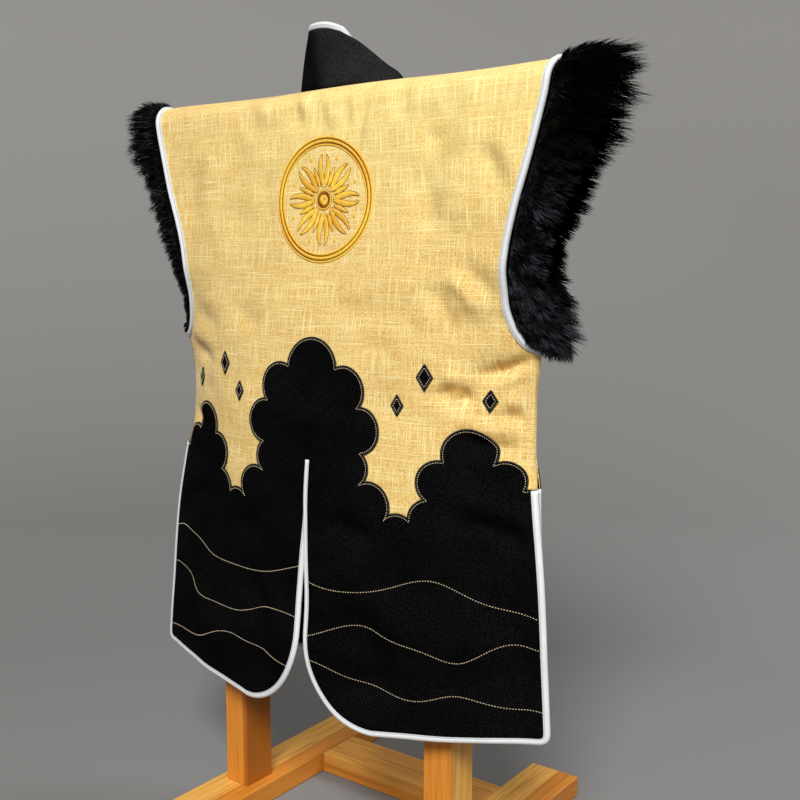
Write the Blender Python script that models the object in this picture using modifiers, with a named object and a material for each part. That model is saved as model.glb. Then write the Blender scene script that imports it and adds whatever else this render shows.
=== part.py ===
"""A sleeveless surcoat (jinbaori) hung on a plain wooden stand, in metres, +Z up, its back facing -Y."""
import math
from collections import namedtuple

import bpy
import numpy as np
from mathutils import Vector
from mathutils.geometry import delaunay_2d_cdt

for old in list(bpy.data.objects):
    bpy.data.objects.remove(old, do_unlink=True)

# Driving sizes
RIDGE_HEIGHT = 1.018
ROLL_RADIUS = 0.024
CLOTH = 0.0012
OVERLAY = 0.0010
SEAM_GAP = 0.0003
BINDING_GAP = 0.0006
OVERLAY_GAP = 0.0005
SEAM_SETBACK = 0.0022
BINDING_WIDTH = 0.009
BINDING_THICK = 0.0024
LATTICE = 0.044
VENT_TOP = 0.502
SLIT_TOP = 0.488
SLIT_LAP = 0.004
SLIT_OPEN = 0.0044
TUCK_DEPTH = 0.0042
TUCK_EDGE = 0.006
TAIL_ROUND = (0.106, 0.117)
TAIL_BOTTOM = 0.832
FRONT_EDGE = 0.012
FRONT_ROUND = (0.060, 0.060)
NECK_END = 0.280

# The coat hangs a little askew: from the underarms down it lies this far to the left of its shoulders
ASKEW = 0.008
ASKEW_FROM, ASKEW_TO = 0.18, 0.36

# The garment's sections: how far below the ridge, how far the middle and the side edge stand out
# past the roll over the bar, and how late the curve turns to the side
Section = namedtuple("Section", "drop middle_out side_out fullness")
BACK_SECTIONS = [
    Section(0.000, 0.000, 0.000, 3.0),
    Section(0.060, 0.002, 0.001, 3.0),
    Section(0.140, 0.004, 0.002, 3.0),
    Section(0.220, 0.010, -0.006, 3.0),
    Section(0.312, 0.019, -0.040, 3.0),
    Section(0.400, 0.026, -0.046, 3.0),
    Section(0.465, 0.031, -0.042, 2.5),
    Section(0.495, 0.034, -0.0355, 2.2),
    Section(0.600, 0.042, -0.026, 1.6),
    Section(0.830, 0.057, -0.016, 1.35),
]
FRONT_SECTIONS = [
    Section(0.000, 0.000, 0.000, 3.0),
    Section(0.060, 0.016, 0.008, 3.0),
    Section(0.140, 0.034, 0.022, 3.0),
    Section(0.220, 0.052, 0.020, 2.8),
    Section(0.312, 0.066, -0.008, 2.6),
    Section(0.400, 0.072, -0.002, 2.4),
    Section(0.465, 0.075, -0.006, 2.3),
    Section(0.495, 0.077, -0.0060, 2.2),
    Section(0.600, 0.082, -0.002, 2.0),
    Section(0.830, 0.090, 0.004, 1.8),
]

# Where the closed side seam runs, front to back
Seam = namedtuple("Seam", "drop y")
SIDE_SEAM = [Seam(0.312, 0.016), Seam(0.355, 0.021), Seam(0.400, 0.022), Seam(0.465, 0.018)]

# Edges of the cut, as distance from the middle and distance down the cloth from the ridge
Edge = namedtuple("Edge", "across down")
ARMHOLE = [
    Edge(0.325, 0.000), Edge(0.319, 0.045), Edge(0.311, 0.078), Edge(0.2970, 0.129), Edge(0.2815, 0.178),
    Edge(0.2715, 0.221), Edge(0.2685, 0.252), Edge(0.2690, 0.281), Edge(0.2745, 0.305), Edge(0.2850, 0.324),
    Edge(0.3010, 0.335),
]
SIDE = [
    Edge(0.325, 0.000), Edge(0.315, 0.160), Edge(0.301, 0.335), Edge(0.293, 0.400), Edge(0.294, 0.450),
    Edge(0.302, 0.502), Edge(0.318, 0.610), Edge(0.328, 0.720), Edge(0.335, 0.803), Edge(0.338, 0.850),
]
FRONT_SIDE = SIDE[:6] + [Edge(0.303, 0.610), Edge(0.299, 0.720), Edge(0.296, 0.803), Edge(0.295, 0.850)]
HEM = [Edge(0.335, 0.803), Edge(0.280, 0.810), Edge(0.200, 0.822), Edge(0.110, 0.832)]
FRONT_HEM = [Edge(0.296, 0.803), Edge(0.240, 0.808), Edge(0.160, 0.817), Edge(0.072, 0.826)]
NECKLINE = [
    Edge(0.056, 0.000), Edge(0.073, 0.012), Edge(0.0800, 0.035), Edge(0.081, 0.080), Edge(0.070, 0.150),
    Edge(0.050, 0.220), Edge(0.036, 0.280),
]

# Large soft folds of the back: two ends of each, its width and its depth towards the body
Fold = namedtuple("Fold", "across_a down_a across_b down_b width depth")
BACK_FOLDS = [
    Fold(0.292, 0.350, 0.205, 0.385, 0.022, 0.0035),
    Fold(0.090, 0.405, 0.180, 0.430, 0.026, 0.0025),
    Fold(-0.290, 0.385, -0.215, 0.360, 0.022, 0.0040),
    Fold(0.150, 0.250, 0.195, 0.305, 0.030, -0.0030),
    Fold(-0.130, 0.180, -0.160, 0.300, 0.040, 0.0025),
    Fold(-0.180, 0.600, -0.200, 0.800, 0.040, -0.0040),
    Fold(0.130, 0.620, 0.150, 0.800, 0.045, 0.0035),
]
FRONT_FOLDS = [
    Fold(0.285, 0.360, 0.190, 0.400, 0.024, 0.0040),
    Fold(0.150, 0.180, 0.170, 0.320, 0.040, 0.0030),
    Fold(0.140, 0.580, 0.150, 0.800, 0.045, -0.0040),
]

# Cloud scrolls along the top of the dark cloth, from the middle of the back to the side: circles in a chain
Lobe = namedtuple("Lobe", "across down radius")
BACK_CLOUDS = [
    Lobe(0.000, 0.372, 0.042), Lobe(0.054, 0.396, 0.032), Lobe(0.080, 0.444, 0.030),
    Lobe(0.070, 0.492, 0.026), Lobe(0.098, 0.536, 0.030), Lobe(0.138, 0.568, 0.026),
    Lobe(0.180, 0.548, 0.028), Lobe(0.190, 0.500, 0.028), Lobe(0.224, 0.464, 0.032),
    Lobe(0.264, 0.496, 0.026), Lobe(0.292, 0.526, 0.024), Lobe(0.328, 0.536, 0.024),
]
FRONT_CLOUDS = [
    Lobe(0.000, 0.560, 0.046), Lobe(0.070, 0.545, 0.046), Lobe(0.140, 0.530, 0.046),
    Lobe(0.210, 0.520, 0.046), Lobe(0.275, 0.515, 0.042), Lobe(0.330, 0.512, 0.034),
]
Spot = namedtuple("Spot", "name across down half_wide half_tall")
LOZENGES = [
    Spot("inner", 0.134, 0.408, 0.008, 0.013),
    Spot("middle", 0.170, 0.372, 0.010, 0.016),
    Spot("outer", 0.246, 0.398, 0.008, 0.013),
]
EMBLEM_DOWN = 0.155
EMBLEM_RADIUS = 0.080
EMBLEM_BAND = 0.012

# Collar: where its foot stands on the neckline, its height on each side, its lean, and its rolled rim
Stand = namedtuple("Stand", "across down high_left high_right lean_in lean_y lean_z roll_left roll_right")
COLLAR = [
    Stand(0.000, 0.000, 0.073, 0.073, 0.00, 0.10, 1.0, 0.00, 0.00),
    Stand(0.030, 0.000, 0.079, 0.056, 0.02, 0.10, 1.0, 0.00, 0.45),
    Stand(0.057, 0.001, 0.081, 0.036, 0.00, 0.16, 1.0, 0.00, 0.85),
    Stand(0.073, 0.012, 0.081, 0.025, 0.02, 0.26, 1.0, 0.10, 1.00),
    Stand(0.080, 0.035, 0.075, 0.022, 0.16, 0.40, 0.9, 0.30, 1.00),
    Stand(0.081, 0.080, 0.060, 0.028, 0.55, 0.60, 0.6, 0.60, 0.90),
    Stand(0.070, 0.150, 0.044, 0.036, 0.80, 0.45, 0.3, 0.60, 0.60),
    Stand(0.050, 0.220, 0.032, 0.032, 1.00, 0.20, 0.1, 0.30, 0.30),
    Stand(0.036, 0.279, 0.019, 0.019, 1.00, 0.05, 0.0, 0.00, 0.00),
]
COLLAR_THICK = 0.0018
COLLAR_BINDING = 0.0080
NECK_MIDDLE_Y = 0.050

# Fur round each armhole: share of the way round from the underarm up the back, reach and half thickness
Tuft = namedtuple("Tuft", "way reach_left reach_right half_thick")
FUR = [
    Tuft(0.00, 0.022, 0.050, 0.009), Tuft(0.07, 0.024, 0.054, 0.010), Tuft(0.18, 0.030, 0.052, 0.012),
    Tuft(0.33, 0.052, 0.066, 0.013), Tuft(0.44, 0.072, 0.076, 0.014), Tuft(0.50, 0.080, 0.080, 0.014),
    Tuft(0.56, 0.080, 0.080, 0.014), Tuft(0.67, 0.062, 0.072, 0.013), Tuft(0.82, 0.040, 0.056, 0.012),
    Tuft(0.93, 0.026, 0.054, 0.010), Tuft(1.00, 0.022, 0.050, 0.009),
]
FUR_STATIONS = 36
FUR_CLEAR = 0.0021
FUR_INSET = 0.0060

# Profile of the fur ring: share of the reach, share of the thickness, and which face
FUR_PROFILE = [(0.0, 0.32, 1), (0.35, 1.0, 1), (0.75, 0.9, 1), (1.0, 0.25, 1)]
FUR_PROFILE += [(1.0, 0.25, -1), (0.75, 0.9, -1), (0.35, 1.0, -1), (0.0, 0.32, -1)]

# Stand
POST_ACROSS = 0.180
POST_Y = 0.007
POST_WIDE = 0.042
POST_DEEP = 0.052
FOOT_WIDE = 0.078
FOOT_HIGH = 0.030
FOOT_LONG = 0.600
STRETCHER_Y = 0.168
STRETCHER_WIDE = 0.075
BAR_LONG = 0.550
BAR_HIGH = 0.064
BAR_CLEARANCE = 0.0011
WOOD_GAP = 0.0002

# Collections and materials
parts = bpy.data.collections.new("jinbaori_on_stand")
bpy.context.scene.collection.children.link(parts)

LINEN = (0.74, 0.49, 0.15)
TWILL = (0.012, 0.012, 0.014)
SATIN = (0.80, 0.82, 0.84)
GOLD_THREAD = (0.72, 0.40, 0.06)
HAIR = (0.008, 0.008, 0.009)
PINE = (0.56, 0.30, 0.11)


def finish(obj, colour, roughness):
    """Puts one object in the part's collection with a material of its own."""
    material = bpy.data.materials.new(obj.name)
    material.use_nodes = True
    shader = material.node_tree.nodes["Principled BSDF"]
    shader.inputs["Base Color"].default_value = (*colour, 1.0)
    shader.inputs["Roughness"].default_value = roughness
    obj.data.materials.append(material)
    for home in list(obj.users_collection):
        home.objects.unlink(obj)
    parts.objects.link(obj)
    return obj


def smooth(xs, ys, x):
    """A smooth curve through a table's rows that never swings past them (cubic pieces)."""
    xs, ys, x = np.asarray(xs, float), np.asarray(ys, float), np.asarray(x, float)
    rise = np.diff(ys) / np.diff(xs)
    slope = np.concatenate([rise[:1], np.zeros(len(xs) - 2), rise[-1:]])
    same = rise[:-1] * rise[1:] > 0
    slope[1:-1][same] = 2 * rise[:-1][same] * rise[1:][same] / (rise[:-1] + rise[1:])[same]
    i = np.clip(np.searchsorted(xs, x) - 1, 0, len(xs) - 2)
    width = xs[i + 1] - xs[i]
    t = np.clip((x - xs[i]) / width, 0.0, 1.0)
    a = (1 + 2 * t) * (1 - t) ** 2 * ys[i] + t * (1 - t) ** 2 * width * slope[i]
    b = t * t * (3 - 2 * t) * ys[i + 1] + t * t * (t - 1) * width * slope[i + 1]
    return a + b


def column(rows, name):
    return [getattr(row, name) for row in rows]


def side_edge(q, rows=SIDE):
    """Distance from the middle to the side edge at a distance down the cloth."""
    return smooth(column(rows, "down"), column(rows, "across"), q)


def eased(value, start, end):
    """A soft step from 0 to 1."""
    t = np.clip((value - start) / (end - start), 0.0, 1.0)
    return t * t * (3 - 2 * t)


def tuck(x, q):
    """How far the left of the centre slit is tucked behind the right."""
    aside = eased(-x, -TUCK_EDGE, TUCK_EDGE) * np.exp(-(np.minimum(x + TUCK_EDGE, 0.0) / 0.09) ** 2)
    return TUCK_DEPTH * aside * eased(q, 0.425, 0.480) * (1 - eased(q, 0.62, 0.82))


def fold_depth(folds, x, q):
    """How far the folds move the cloth towards the body at a place on it."""
    depth = np.zeros_like(x)
    for fold in folds:
        ax, aq = fold.across_a, fold.down_a
        dx, dq = fold.across_b - ax, fold.down_b - aq
        length = math.hypot(dx, dq)
        along = ((x - ax) * dx + (q - aq) * dq) / length ** 2
        aside = ((x - ax) * dq - (q - aq) * dx) / length
        ends = np.exp(-np.maximum(np.abs(along - 0.5) - 0.35, 0.0) ** 2 / 0.08)
        depth += fold.depth * ends * np.exp(-(aside / fold.width) ** 2)
    return depth


def on_body(sections, sides, folds, way, x, q):
    """The place in space of a point on the cloth; way is -1 on the back and +1 on the fronts."""
    x, q = np.broadcast_arrays(np.asarray(x, float), np.asarray(q, float))
    turn = np.clip(q / ROLL_RADIUS, 0.0, math.pi / 2)
    drop = ROLL_RADIUS * (1 - np.cos(turn)) + np.maximum(q - ROLL_RADIUS * math.pi / 2, 0.0)
    rows = column(sections, "drop")
    half = side_edge(q, sides)
    out = smooth(rows, column(sections, "middle_out"), drop) + ROLL_RADIUS * np.sin(turn)
    side = smooth(rows, column(sections, "side_out"), drop) + ROLL_RADIUS * np.sin(turn)
    seam_y = way * smooth(column(SIDE_SEAM, "drop"), column(SIDE_SEAM, "y"), drop)
    side = np.where((drop > SIDE_SEAM[0].drop) & (drop < SIDE_SEAM[-1].drop), seam_y, side)
    late = smooth(rows, column(sections, "fullness"), drop)
    share = np.abs(x) / half
    calm = np.clip((q - 0.06) / 0.06, 0.0, 1.0) * np.clip((half - np.abs(x)) / 0.045, 0.0, 1.0)
    depth = fold_depth(folds, x, q) * calm
    y = way * (out + (side - out) * share ** late - depth)
    return np.stack([x - ASKEW * eased(q, ASKEW_FROM, ASKEW_TO), y, RIDGE_HEIGHT - drop], axis=-1)


def back(x, q):
    point = on_body(BACK_SECTIONS, SIDE, BACK_FOLDS, -1, x, q)
    point[..., 1] += tuck(np.asarray(x, float), np.asarray(q, float))
    return point


def back_over_lap(x, q):
    """The right tail beside the slit, which lies over the left one."""
    point = on_body(BACK_SECTIONS, SIDE, BACK_FOLDS, -1, x, q)
    point[..., 1] += tuck(np.maximum(x, TUCK_EDGE), np.asarray(q, float))
    return point


def back_under_lap(x, q):
    """The left tail beside the slit, which stays tucked behind the right one to its very edge."""
    point = on_body(BACK_SECTIONS, SIDE, BACK_FOLDS, -1, x, q)
    point[..., 1] += tuck(np.minimum(x, -TUCK_EDGE), np.asarray(q, float))
    return point


def front(x, q):
    """Both fronts: the folds of one side are mirrored on the other."""
    x, q = np.broadcast_arrays(np.asarray(x, float), np.asarray(q, float))
    point = on_body(FRONT_SECTIONS, FRONT_SIDE, FRONT_FOLDS, 1, np.abs(x), q)
    point[..., 0] += x - np.abs(x)
    return point


def facing(surface, x, q, way):
    """The outward direction of a panel at each point of it."""
    step = 0.0008
    along = surface(x + step, q) - surface(x - step, q)
    down = surface(x, q + step) - surface(x, np.maximum(q - step, 0.0))
    normal = np.cross(along, down)
    normal /= np.linalg.norm(normal, axis=-1, keepdims=True)
    turned = np.sign(normal[..., 1:2] * way + 0.2 * normal[..., 2:3])
    return normal * np.where(turned == 0, 1, turned)


def sampled(edges, spacing):
    """Points at an even spacing along the smooth curve through an edge's rows."""
    p = np.array([(e.across, e.down) for e in edges])
    run = np.concatenate([[0], np.cumsum(np.linalg.norm(np.diff(p, axis=0), axis=1))])
    at = np.linspace(0, run[-1], max(2, int(round(run[-1] / spacing)) + 1))
    return np.stack([smooth(run, p[:, 0], at), smooth(run, p[:, 1], at)], axis=1)


def joined(*runs):
    """Several runs of points as one, without the repeated end points."""
    points = [runs[0][0]]
    for run in runs:
        for p in run:
            if np.hypot(*(p - points[-1])) > 1e-6:
                points.append(p)
    return np.array(points)


def inset(points, distance, closed):
    """A run of points moved to its right by a distance given for each segment, with mitred corners."""
    count = len(points)
    distance = np.broadcast_to(np.asarray(distance, float), (count if closed else count - 1,))
    moved = []
    for i in range(count):
        before = (i - 1) % count if (closed or i > 0) else None
        after = i if (closed or i < count - 1) else None
        lines = []
        for segment in (before, after):
            if segment is None:
                continue
            a, b = points[segment], points[(segment + 1) % count]
            along = (b - a) / np.hypot(*(b - a))
            right = np.array([along[1], -along[0]])
            lines.append((a + right * distance[segment], along, right, distance[segment]))
        if len(lines) == 1:
            moved.append(points[i] + lines[0][2] * lines[0][3])
            continue
        (p, u, n, d), (r, v, m, e) = lines
        cross = u[0] * v[1] - u[1] * v[0]
        if abs(cross) < 0.05:
            moved.append(points[i] + (n * d + m * e) / 2)
        else:
            moved.append(p + u * (((r - p)[0] * v[1] - (r - p)[1] * v[0]) / cross))
    return np.array(moved)


def inside(polygon, p):
    """Whether each point lies in a polygon."""
    a, b = polygon, np.roll(polygon, -1, axis=0)
    x, y = p[:, None, 0], p[:, None, 1]
    crosses = (a[:, 1] > y) != (b[:, 1] > y)
    with np.errstate(divide="ignore", invalid="ignore"):
        at = a[:, 0] + (y - a[:, 1]) / (b[:, 1] - a[:, 1]) * (b[:, 0] - a[:, 0])
    return (np.sum(crosses & (x < at), axis=1) % 2) == 1


def cloud_edge(lobes, spacing):
    """The scalloped upper edge of a chain of circles, from the first top to the last."""
    points = []
    start = -math.pi / 2
    for i, lobe in enumerate(lobes):
        end = -math.pi / 2
        following = None
        if i + 1 < len(lobes):
            after = lobes[i + 1]
            dx, dq = after.across - lobe.across, after.down - lobe.down
            apart = math.hypot(dx, dq)
            mid = (lobe.radius ** 2 - after.radius ** 2 + apart ** 2) / (2 * apart)
            rise = math.sqrt(lobe.radius ** 2 - mid ** 2)
            meet_x = lobe.across + (mid * dx + rise * dq) / apart
            meet_q = lobe.down + (mid * dq - rise * dx) / apart
            end = math.atan2(meet_q - lobe.down, meet_x - lobe.across)
            following = math.atan2(meet_q - after.down, meet_x - after.across)
        if end < start:
            end += 2 * math.pi
        steps = max(2, int(round((end - start) * lobe.radius / spacing)) + 1)
        for angle in np.linspace(start, end, steps):
            x = lobe.across + lobe.radius * math.cos(angle)
            points.append((x, lobe.down + lobe.radius * math.sin(angle)))
        if following is not None:
            start = following if following < 0 else following - 2 * math.pi
    clean = [points[0]]
    for p in points[1:]:
        if math.hypot(p[0] - clean[-1][0], p[1] - clean[-1][1]) > 1e-5:
            clean.append(p)
    return np.array(clean)


def circle(across, down, radius, count):
    angles = np.arange(count) * 2 * math.pi / count
    return np.stack([across + radius * np.cos(angles), down + radius * np.sin(angles)], axis=1)


def triangulated(outline, loops, runs):
    """One net of triangles for a panel, with every line that is drawn on it kept as edges."""
    points, edges = [], []
    for loop in [outline] + loops:
        first = len(points)
        points += [tuple(p) for p in loop]
        edges += [(first + i, first + (i + 1) % len(loop)) for i in range(len(loop))]
    for run in runs:
        first = len(points)
        points += [tuple(p) for p in run]
        edges += [(first + i, first + i + 1) for i in range(len(run) - 1)]
    drawn = np.array(points)
    low, high = outline.min(axis=0), outline.max(axis=0)
    rows = np.concatenate([ROLL_ROWS, np.arange(0.062, high[1], LATTICE)])
    columns = np.arange(math.floor(low[0] / LATTICE), math.ceil(high[0] / LATTICE) + 1) * LATTICE
    grid = np.stack(np.meshgrid(columns, rows), axis=-1).reshape(-1, 2)
    grid = grid[inside(outline, grid)]
    clear = np.linalg.norm(grid[:, None] - drawn[None], axis=2).min(axis=1)
    reach = np.where(grid[:, 1] < 0.05, 0.006, 0.013)
    points += [tuple(p) for p in grid[clear > reach]]
    made = delaunay_2d_cdt([Vector(p) for p in points], edges, [], 0, 1e-7)
    verts = np.array([tuple(v) for v in made[0]])
    faces = np.array([tuple(f) for f in made[2]])
    return verts, faces[inside(outline, verts[faces].mean(axis=1))]


def shell(name, surface, way, verts, faces, offset, thick, colour, roughness):
    """A thin solid on a panel's net, moved out from the panel's middle by an offset."""
    used = np.unique(faces)
    where = np.full(len(verts), -1)
    where[used] = np.arange(len(used))
    x, q = verts[used, 0], verts[used, 1]
    points = surface(x, q) + facing(surface, x, q, way) * offset
    mesh = bpy.data.meshes.new(name)
    mesh.from_pydata([tuple(p) for p in points], [], [tuple(int(where[i]) for i in f) for f in faces])
    mesh.update()
    obj = bpy.data.objects.new(name, mesh)
    thicken = obj.modifiers.new("cloth", "SOLIDIFY")
    thicken.thickness = thick
    thicken.offset = 0.0
    return finish(obj, colour, roughness)


def ribbon(name, outer, inner, closed, thick, colour, roughness):
    """A strip of tape between two runs of points in space."""
    count = len(outer)
    verts = [tuple(p) for p in outer] + [tuple(p) for p in inner]
    last = count if closed else count - 1
    faces = [(i, (i + 1) % count, count + (i + 1) % count, count + i) for i in range(last)]
    mesh = bpy.data.meshes.new(name)
    mesh.from_pydata(verts, [], faces)
    mesh.update()
    obj = bpy.data.objects.new(name, mesh)
    thicken = obj.modifiers.new("tape", "SOLIDIFY")
    thicken.thickness = thick
    thicken.offset = 0.0
    return finish(obj, colour, roughness)


def mirrored(points):
    return points[::-1] * np.array([-1.0, 1.0])


# Rows of points where the cloth bends over the bar
ROLL_ROWS = ROLL_RADIUS * math.pi / 2 * np.array([0.25, 0.5, 0.75, 1.0])

# Edges of one half of the back, from the top of the slit round the tail to the vent and up to the ridge
turns = np.linspace(math.pi, math.pi / 2, 9)
slit_end = TAIL_BOTTOM - TAIL_ROUND[1]
slit_q = np.linspace(SLIT_TOP, slit_end, 9)
slit_x = SLIT_OPEN - (SLIT_OPEN + SLIT_LAP) * (1 - eased(slit_q, SLIT_TOP + 0.03, slit_end - 0.03))
slit = np.stack([slit_x, slit_q], axis=1)
tail_x = slit[-1, 0] + TAIL_ROUND[0]
tail = np.stack([tail_x + TAIL_ROUND[0] * np.cos(turns), slit_end + TAIL_ROUND[1] * np.sin(turns)], axis=1)
hem = sampled(HEM, 0.038)[::-1][1:]
vent = np.array([(float(side_edge(q)), q) for q in np.linspace(HEM[0].down, VENT_TOP, 10)])
seam = np.array([(float(side_edge(q)), q) for q in np.linspace(VENT_TOP - 0.022, ARMHOLE[-1].down, 7)])
roll_x = smooth(column(ARMHOLE, "down"), column(ARMHOLE, "across"), ROLL_ROWS[:-1])
over_roll = np.stack([roll_x, ROLL_ROWS[:-1]], axis=1)
armhole = sampled(ARMHOLE, 0.021)
armhole = np.concatenate([armhole[:1], over_roll, armhole[armhole[:, 1] > ROLL_ROWS[-1] - 0.004]])[::-1]
shoulder_x = [0.325] + [step * LATTICE for step in range(7, -1, -1)]
ridge = np.array([(x, 0.0) for x in shoulder_x])
bound = joined(slit, tail, hem, vent)

# Back panel with everything that lies on it, from one net of triangles
vent_head = np.array([(float(side_edge(VENT_TOP)), VENT_TOP - 2 * SEAM_GAP)])
closed_edge = joined(vent_head, seam, armhole, ridge)
setback = np.concatenate([
    np.full(len(seam), SEAM_SETBACK),
    np.full(len(armhole) - 1, BINDING_WIDTH + BINDING_GAP),
    np.full(len(ridge) - 1, SEAM_GAP / 2),
])
lower_cut = inset(bound, BINDING_WIDTH + BINDING_GAP, False)
lower_cut[0, 1] = SLIT_TOP - 2 * SEAM_GAP
lower_cut[-1, 1] = VENT_TOP - 2 * SEAM_GAP
cut = joined(lower_cut, inset(closed_edge, setback, False))
cut[-1] = (0.0, SEAM_GAP / 2)
back_cut = joined(cut, mirrored(cut)[1:])
cloud_right = cloud_edge(BACK_CLOUDS, 0.013)
cloud = joined(mirrored(cloud_right), cloud_right)
dark = np.concatenate([cloud, [(0.45, 0.60), (0.45, 1.0), (-0.45, 1.0), (-0.45, 0.60)]])
ring_out = circle(0.0, EMBLEM_DOWN, EMBLEM_RADIUS, 30)
ring_in = circle(0.0, EMBLEM_DOWN, EMBLEM_RADIUS - EMBLEM_BAND, 30)
lozenges = {}
for spot in LOZENGES:
    for hand, sign in (("right", 1), ("left", -1)):
        x = sign * spot.across
        corners = [(x, spot.down - spot.half_tall), (x + spot.half_wide, spot.down)]
        corners += [(x, spot.down + spot.half_tall), (x - spot.half_wide, spot.down)]
        lozenges["lozenge_" + spot.name + "_" + hand] = np.array(corners)
net, tris = triangulated(back_cut, [ring_out, ring_in] + list(lozenges.values()), [cloud])
centres = net[tris].mean(axis=1)
on_top = CLOTH / 2 + OVERLAY_GAP + OVERLAY / 2
shell("back_panel", back, -1, net, tris, 0.0, CLOTH, LINEN, 0.85)
shell("back_dark_cloth", back, -1, net, tris[inside(dark, centres)], on_top, OVERLAY, TWILL, 0.75)
band = inside(ring_out, centres) & ~inside(ring_in, centres)
shell("emblem_ring", back, -1, net, tris[band], on_top, OVERLAY, GOLD_THREAD, 0.45)
for name, outline in lozenges.items():
    shell(name, back, -1, net, tris[inside(outline, centres)], on_top, OVERLAY, TWILL, 0.75)

# Front panels, each with its own dark cloth below
front_end = FRONT_HEM[-1].down - FRONT_ROUND[1]
front_slit = np.array([(FRONT_EDGE, q) for q in np.linspace(NECK_END + 0.004, front_end, 12)])
front_x = FRONT_EDGE + FRONT_ROUND[0] * (1 + np.cos(turns))
front_tail = np.stack([front_x, front_end + FRONT_ROUND[1] * np.sin(turns)], axis=1)
front_hem = sampled(FRONT_HEM, 0.038)[::-1][1:]
front_vent_q = np.linspace(FRONT_HEM[0].down, VENT_TOP, 10)
front_vent = np.stack([side_edge(front_vent_q, FRONT_SIDE), front_vent_q], axis=1)
neck = sampled(NECKLINE, 0.022)
shoulder = np.array([(x, 0.0) for x in shoulder_x if x > 0.06] + [(NECKLINE[0].across, 0.0)])
front_bound = joined(front_slit, front_tail, front_hem, front_vent)
front_closed = joined(vent_head, seam, armhole, shoulder, neck)
front_setback = np.concatenate([
    np.full(len(seam), SEAM_SETBACK),
    np.full(len(armhole) - 1, BINDING_WIDTH + BINDING_GAP),
    np.full(len(shoulder) - 1, SEAM_GAP / 2),
    np.full(len(neck) - 1, SEAM_GAP + CLOTH),
])
lower_cut = inset(front_bound, BINDING_WIDTH + BINDING_GAP, False)
lower_cut[-1, 1] = VENT_TOP - 2 * SEAM_GAP
front_cut = joined(lower_cut, inset(front_closed, front_setback, False))
front_cloud = cloud_edge(FRONT_CLOUDS, 0.020)
front_dark = np.concatenate([front_cloud, [(0.45, 0.60), (0.45, 1.0), (-0.05, 1.0), (-0.05, 0.60)]])
front_cloud = np.concatenate([[(-0.02, front_cloud[0, 1])], front_cloud[1:]])
net, tris = triangulated(front_cut, [], [front_cloud])
lower = inside(front_dark, net[tris].mean(axis=1))
for hand, sign in (("right", 1), ("left", -1)):
    turned = net * np.array([sign, 1.0])
    shell("front_panel_" + hand, front, 1, turned, tris, 0.0, CLOTH, LINEN, 0.85)
    shell("front_dark_cloth_" + hand, front, 1, turned, tris[lower], on_top, OVERLAY, TWILL, 0.75)

# Bindings of the tails: one length of tape down the slit or front edge, round the hem and up the side vent
for hand, sign, tail_surface in (("right", 1, back_over_lap), ("left", -1, back_under_lap)):
    flip = np.array([sign, 1.0])
    for place, run, surface in (("back", bound, tail_surface), ("front", front_bound, front)):
        within = inset(run, BINDING_WIDTH, False)
        outer = surface(*(run * flip).T)
        inner = surface(*(within * flip).T)
        ribbon(place + "_binding_" + hand, outer, inner, False, BINDING_THICK, SATIN, 0.35)

# Armhole bindings and fur: a closed loop up the back edge, over the ridge and down the front edge
within = inset(armhole, BINDING_WIDTH, False)
within[0] = armhole[0] + np.array([0.0, BINDING_WIDTH])
within[-1] = (within[-1, 0], 0.0)


def loop_of(run, sign):
    """A run on the back edge and the same run on the front edge as one closed loop in space."""
    up = back(sign * run[:, 0], run[:, 1])
    down = front(sign * run[::-1, 0], run[::-1, 1])
    return np.concatenate([up, down[1:-1]])


def even(loop, count):
    """A closed loop of points at an even spacing."""
    closed = np.concatenate([loop, loop[:1]])
    run = np.concatenate([[0], np.cumsum(np.linalg.norm(np.diff(closed, axis=0), axis=1))])
    at = np.linspace(0, run[-1], count + 1)[:-1]
    return np.stack([np.interp(at, run, closed[:, k]) for k in range(3)], axis=1)


def fur_ring(name, loop, sign):
    """The plain solid that the fur fills: a flared ring standing outwards from the armhole."""
    count = FUR_STATIONS
    base = even(loop, count)
    soft = (base + np.roll(base, 1, axis=0) + np.roll(base, -1, axis=0)) / 3
    along = np.roll(soft, -1, axis=0) - np.roll(soft, 1, axis=0)
    outwards = np.array([sign, 0.0, 0.0])
    away = np.cross(along, outwards)
    away /= np.linalg.norm(away, axis=1, keepdims=True)
    middle = base.mean(axis=0)
    away *= np.where(np.sum(away * (base - middle), axis=1).sum() < 0, -1.0, 1.0)
    way = np.arange(count) / count
    reach = smooth(column(FUR, "way"), column(FUR, "reach_right" if sign > 0 else "reach_left"), way)
    thick = smooth(column(FUR, "way"), column(FUR, "half_thick"), way)
    lean = outwards + 0.32 * away
    lean /= np.linalg.norm(lean, axis=1, keepdims=True)
    across = away - lean * np.sum(away * lean, axis=1, keepdims=True)
    across /= np.linalg.norm(across, axis=1, keepdims=True)
    foot = base + outwards * FUR_CLEAR - away * FUR_INSET
    rings = []
    for share, fat, side in FUR_PROFILE:
        rings.append(foot + lean * (share * reach)[:, None] + across * (side * fat * thick)[:, None])
    verts = np.concatenate(rings)
    faces = []
    for ring in range(len(rings)):
        after = (ring + 1) % len(rings)
        for i in range(count):
            j = (i + 1) % count
            faces.append((ring * count + i, ring * count + j, after * count + j, after * count + i))
    if sign > 0:
        faces = [f[::-1] for f in faces]
    mesh = bpy.data.meshes.new(name)
    mesh.from_pydata([tuple(p) for p in verts], [], faces)
    mesh.update()
    return finish(bpy.data.objects.new(name, mesh), HAIR, 0.6)


for hand, sign in (("right", 1), ("left", -1)):
    edge = loop_of(armhole, sign)
    ribbon("armhole_binding_" + hand, edge, loop_of(within, sign), True, BINDING_THICK, SATIN, 0.35)
    fur_ring("fur_" + hand, edge, sign)

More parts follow.
